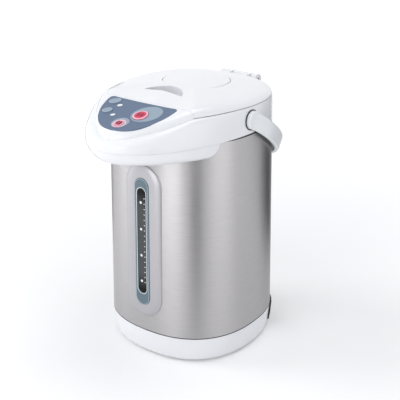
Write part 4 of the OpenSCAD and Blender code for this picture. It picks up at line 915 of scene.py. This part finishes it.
lensParts = []
for x, y, a, b in lenses.values():
    rings = [[(px * s, py * s, z) for px, py in ellipse(a, b, 48)]
             for z, s in ((-8.8, 1), (0.1, 1), (0.26, 0.95), (0.3, 0.8))]
    lensParts.append(skin("lens", rings, matrix=atKey(x, y)))
show(join(lensParts), "indicatorLenses", mats["white_print"], "pot",
     ["indicator_lenses"])
print("stage: controls")

# Dark rings of painted shade in the gaps: the lid's seam, both rims of the steel, and round the
# handle's bosses
dark = {"seamLow": 284.4, "seamHigh": 286.0, "seamIn": 1.3, "seamOut": 0.45, "seamEnd": -67,
        "rims": ((30.85, 31.8), (254.9, 256.8)), "proud": 0.06, "bossX": 83.0}
seamCorners = ((dark["seamOut"], dark["seamLow"]), (dark["seamOut"], dark["seamHigh"]),
               (dark["seamIn"], dark["seamHigh"]), (dark["seamIn"], dark["seamLow"]))
seam = skin("seam", [[(*rimPoint(t, wall), z) for t in turns] for wall, z in seamCorners],
            closed=True)
boolean(seam, block(-200, -300, 200, 200, dark["seamEnd"], 400))
gapShadeParts = [seam]
for low, high in dark["rims"]:
    corners = ((low, dark["proud"]), (high, dark["proud"]), (high, -1.0), (low, -1.0))
    gapShadeParts.append(skin("joint", [bodyRing(z, bodyHalf(z) + d) for z, d in corners], closed=True))
bossProfile = [(9.85, 0), (10.38, 0), (11.0, 1.0), (11.0, 1.3), (9.85, 1.3)]
for side in (-1, 1):
    gapShadeParts.append(revolve("joint", bossProfile, 72, atPivot(side, dark["bossX"])))
show(join(gapShadeParts), "gapShadeRings", gapShade, "pot", weighted=False)

# Soft pieces, the bellows and the spring: merged copies with meshes of their own, carried by the lid
for node, name, slotName in (("bellows", "pumpBellows", "silicone"),
                             ("plate_spring", "returnSpring", "plated_steel")):
    soft = merged(twin(nodes[node], name))
    show(soft, name, mats[slotName], "lid", [node], angle=50, weighted=False)
    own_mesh(soft)

# Every other CAD node keeps its shape and takes its finish
for n, obj in nodes.items():
    if obj.hide_render:
        continue
    obj.data.materials.clear()
    obj.data.materials.append(mats[nodeSlot[n]])
    obj.data.polygons.foreach_set("use_smooth", [True] * len(obj.data.polygons))
    obj.data.set_sharp_from_angle(angle=radians(32))
print("stage: inner pieces")

# Camera
view = {"azimuth": 37.17, "yaw": -0.57, "distance": 0.9302, "height": 0.5398, "pitch": 22.29,
        "lens": 79.39}
azimuth, pitch = radians(view["azimuth"]), radians(view["pitch"])
heading = radians(view["azimuth"] + view["yaw"])
camera = bpy.data.objects.new("camera", bpy.data.cameras.new("camera"))
scene.collection.objects.link(camera)
camera.location = (view["distance"] * sin(azimuth), -view["distance"] * cos(azimuth),
                   view["height"])
forward = Vector((-sin(heading) * cos(pitch), cos(heading) * cos(pitch), -sin(pitch)))
camera.rotation_euler = forward.to_track_quat("-Z", "Y").to_euler()
camera.data.lens = view["lens"]
camera.data.sensor_width = 36
camera.data.clip_end = 50
scene.camera = camera

# A white floor and backdrop, the same to the camera and to metal and glass
def seenDirectly(tree):
    rays, total = tree.nodes.new("ShaderNodeLightPath"), None
    for label in ("Is Camera Ray", "Is Glossy Ray", "Is Transmission Ray"):
        if total is None:
            total = rays.outputs[label]
            continue
        either = tree.nodes.new("ShaderNodeMath")
        either.operation = "MAXIMUM"
        tree.links.new(total, either.inputs[0])
        tree.links.new(rays.outputs[label], either.inputs[1])
        total = either.outputs[0]
    return total


# The floor's own glow grows with the distance from the pot, so that the shadow stays
floorLook = {"near": 0.22, "far": 1.2, "nearGlow": 0.165, "farGlow": 0.56, "reach": 9000,
             "z": -0.4}
floorMat = bpy.data.materials.new("floorWhite")
floorMat.use_nodes = True
floorTree = floorMat.node_tree
shader = floorTree.nodes["Principled BSDF"]
shader.inputs["Base Color"].default_value = (0.82, 0.82, 0.825, 1)
shader.inputs["Roughness"].default_value = 0.9
shader.inputs["Specular IOR Level"].default_value = 0.0
shader.inputs["Emission Color"].default_value = (1, 1, 1, 1)
spot, away = floorTree.nodes.new("ShaderNodeTexCoord"), floorTree.nodes.new("ShaderNodeVectorMath")
lift, seen = floorTree.nodes.new("ShaderNodeMapRange"), floorTree.nodes.new("ShaderNodeMath")
away.operation, seen.operation = "LENGTH", "MULTIPLY"
lift.inputs["From Min"].default_value = floorLook["near"]
lift.inputs["From Max"].default_value = floorLook["far"]
lift.inputs["To Min"].default_value = floorLook["nearGlow"]
lift.inputs["To Max"].default_value = floorLook["farGlow"]
floorTree.links.new(spot.outputs["Object"], away.inputs[0])
floorTree.links.new(away.outputs["Value"], lift.inputs["Value"])
floorTree.links.new(lift.outputs["Result"], seen.inputs[0])
floorTree.links.new(seenDirectly(floorTree), seen.inputs[1])
floorTree.links.new(seen.outputs["Value"], shader.inputs["Emission Strength"])
reach = floorLook["reach"]
floorCorners = ((-reach, -reach), (reach, -reach), (reach, reach), (-reach, reach))
floor = makeMesh("floor", [(x, y, floorLook["z"]) for x, y in floorCorners], [(0, 1, 2, 3)])
floor.data.materials.append(floorMat)


# Dark cards that only the gloss of the object shows, for the dark bands on the steel
cardMat = finish("cardBlack", (0.07, 0.07, 0.07), 0.8, tone=0.1)
cards = {"frontCard": (40, 350, 110, 190), "rearCard": (158, 330, 208, 300),
         "leftCard": (-110, 330, 160, 300)}
for name, (angle, away, width, height) in cards.items():
    at = turn("Z", angle) @ place(0, -away, 0)
    card = block(-width / 2, -1, 1, width / 2, 1, height, at)
    card.name = name
    card.visible_camera = card.visible_diffuse = card.visible_shadow = False
    card.data.materials.append(cardMat)


def lamp(name, where, target, size, power):
    data = bpy.data.lights.new(name, "AREA")
    data.shape = "RECTANGLE"
    data.size, data.size_y = size
    data.energy = power
    obj = bpy.data.objects.new(name, data)
    scene.collection.objects.link(obj)
    obj.location = where
    obj.rotation_euler = (Vector(target) - Vector(where)).to_track_quat("-Z", "Y").to_euler()


lamp("keyLight", (-1.45, -0.8, 1.25), (0, 0, 0.15), (0.8, 0.8), 10.5)
lamp("topLight", (0.25, 0.3, 2.1), (0, 0, 0.2), (1.2, 1.2), 13)
lamp("frontBox", (0.0, -0.78, 0.34), (0, 0, 0.3), (0.42, 0.62), 1.9)
lamp("rightBox", (0.78, -0.1, 0.34), (0, 0, 0.3), (0.5, 0.62), 1.0)
lamp("leftBox", (-0.5, -0.35, 0.16), (0, 0, 0.1), (0.22, 0.3), 0.2)

ambientLight = {"color": (0.93, 0.95, 1.0, 1), "strength": 0.51}
world = bpy.data.worlds.new("studio")
scene.world = world
world.use_nodes = True
tree = world.node_tree
tree.nodes.clear()
out = tree.nodes.new("ShaderNodeOutputWorld")
ambient, backdrop = tree.nodes.new("ShaderNodeBackground"), tree.nodes.new("ShaderNodeBackground")
ambient.inputs["Color"].default_value = ambientLight["color"]
ambient.inputs["Strength"].default_value = ambientLight["strength"]
backdrop.inputs["Color"].default_value = (1, 1, 1, 1)
backdrop.inputs["Strength"].default_value = 1.0
pick = tree.nodes.new("ShaderNodeMixShader")
tree.links.new(seenDirectly(tree), pick.inputs[0])
tree.links.new(ambient.outputs[0], pick.inputs[1])
tree.links.new(backdrop.outputs[0], pick.inputs[2])
tree.links.new(pick.outputs[0], out.inputs["Surface"])
scene.view_settings.view_transform = "Standard"
print("stage: camera and light")
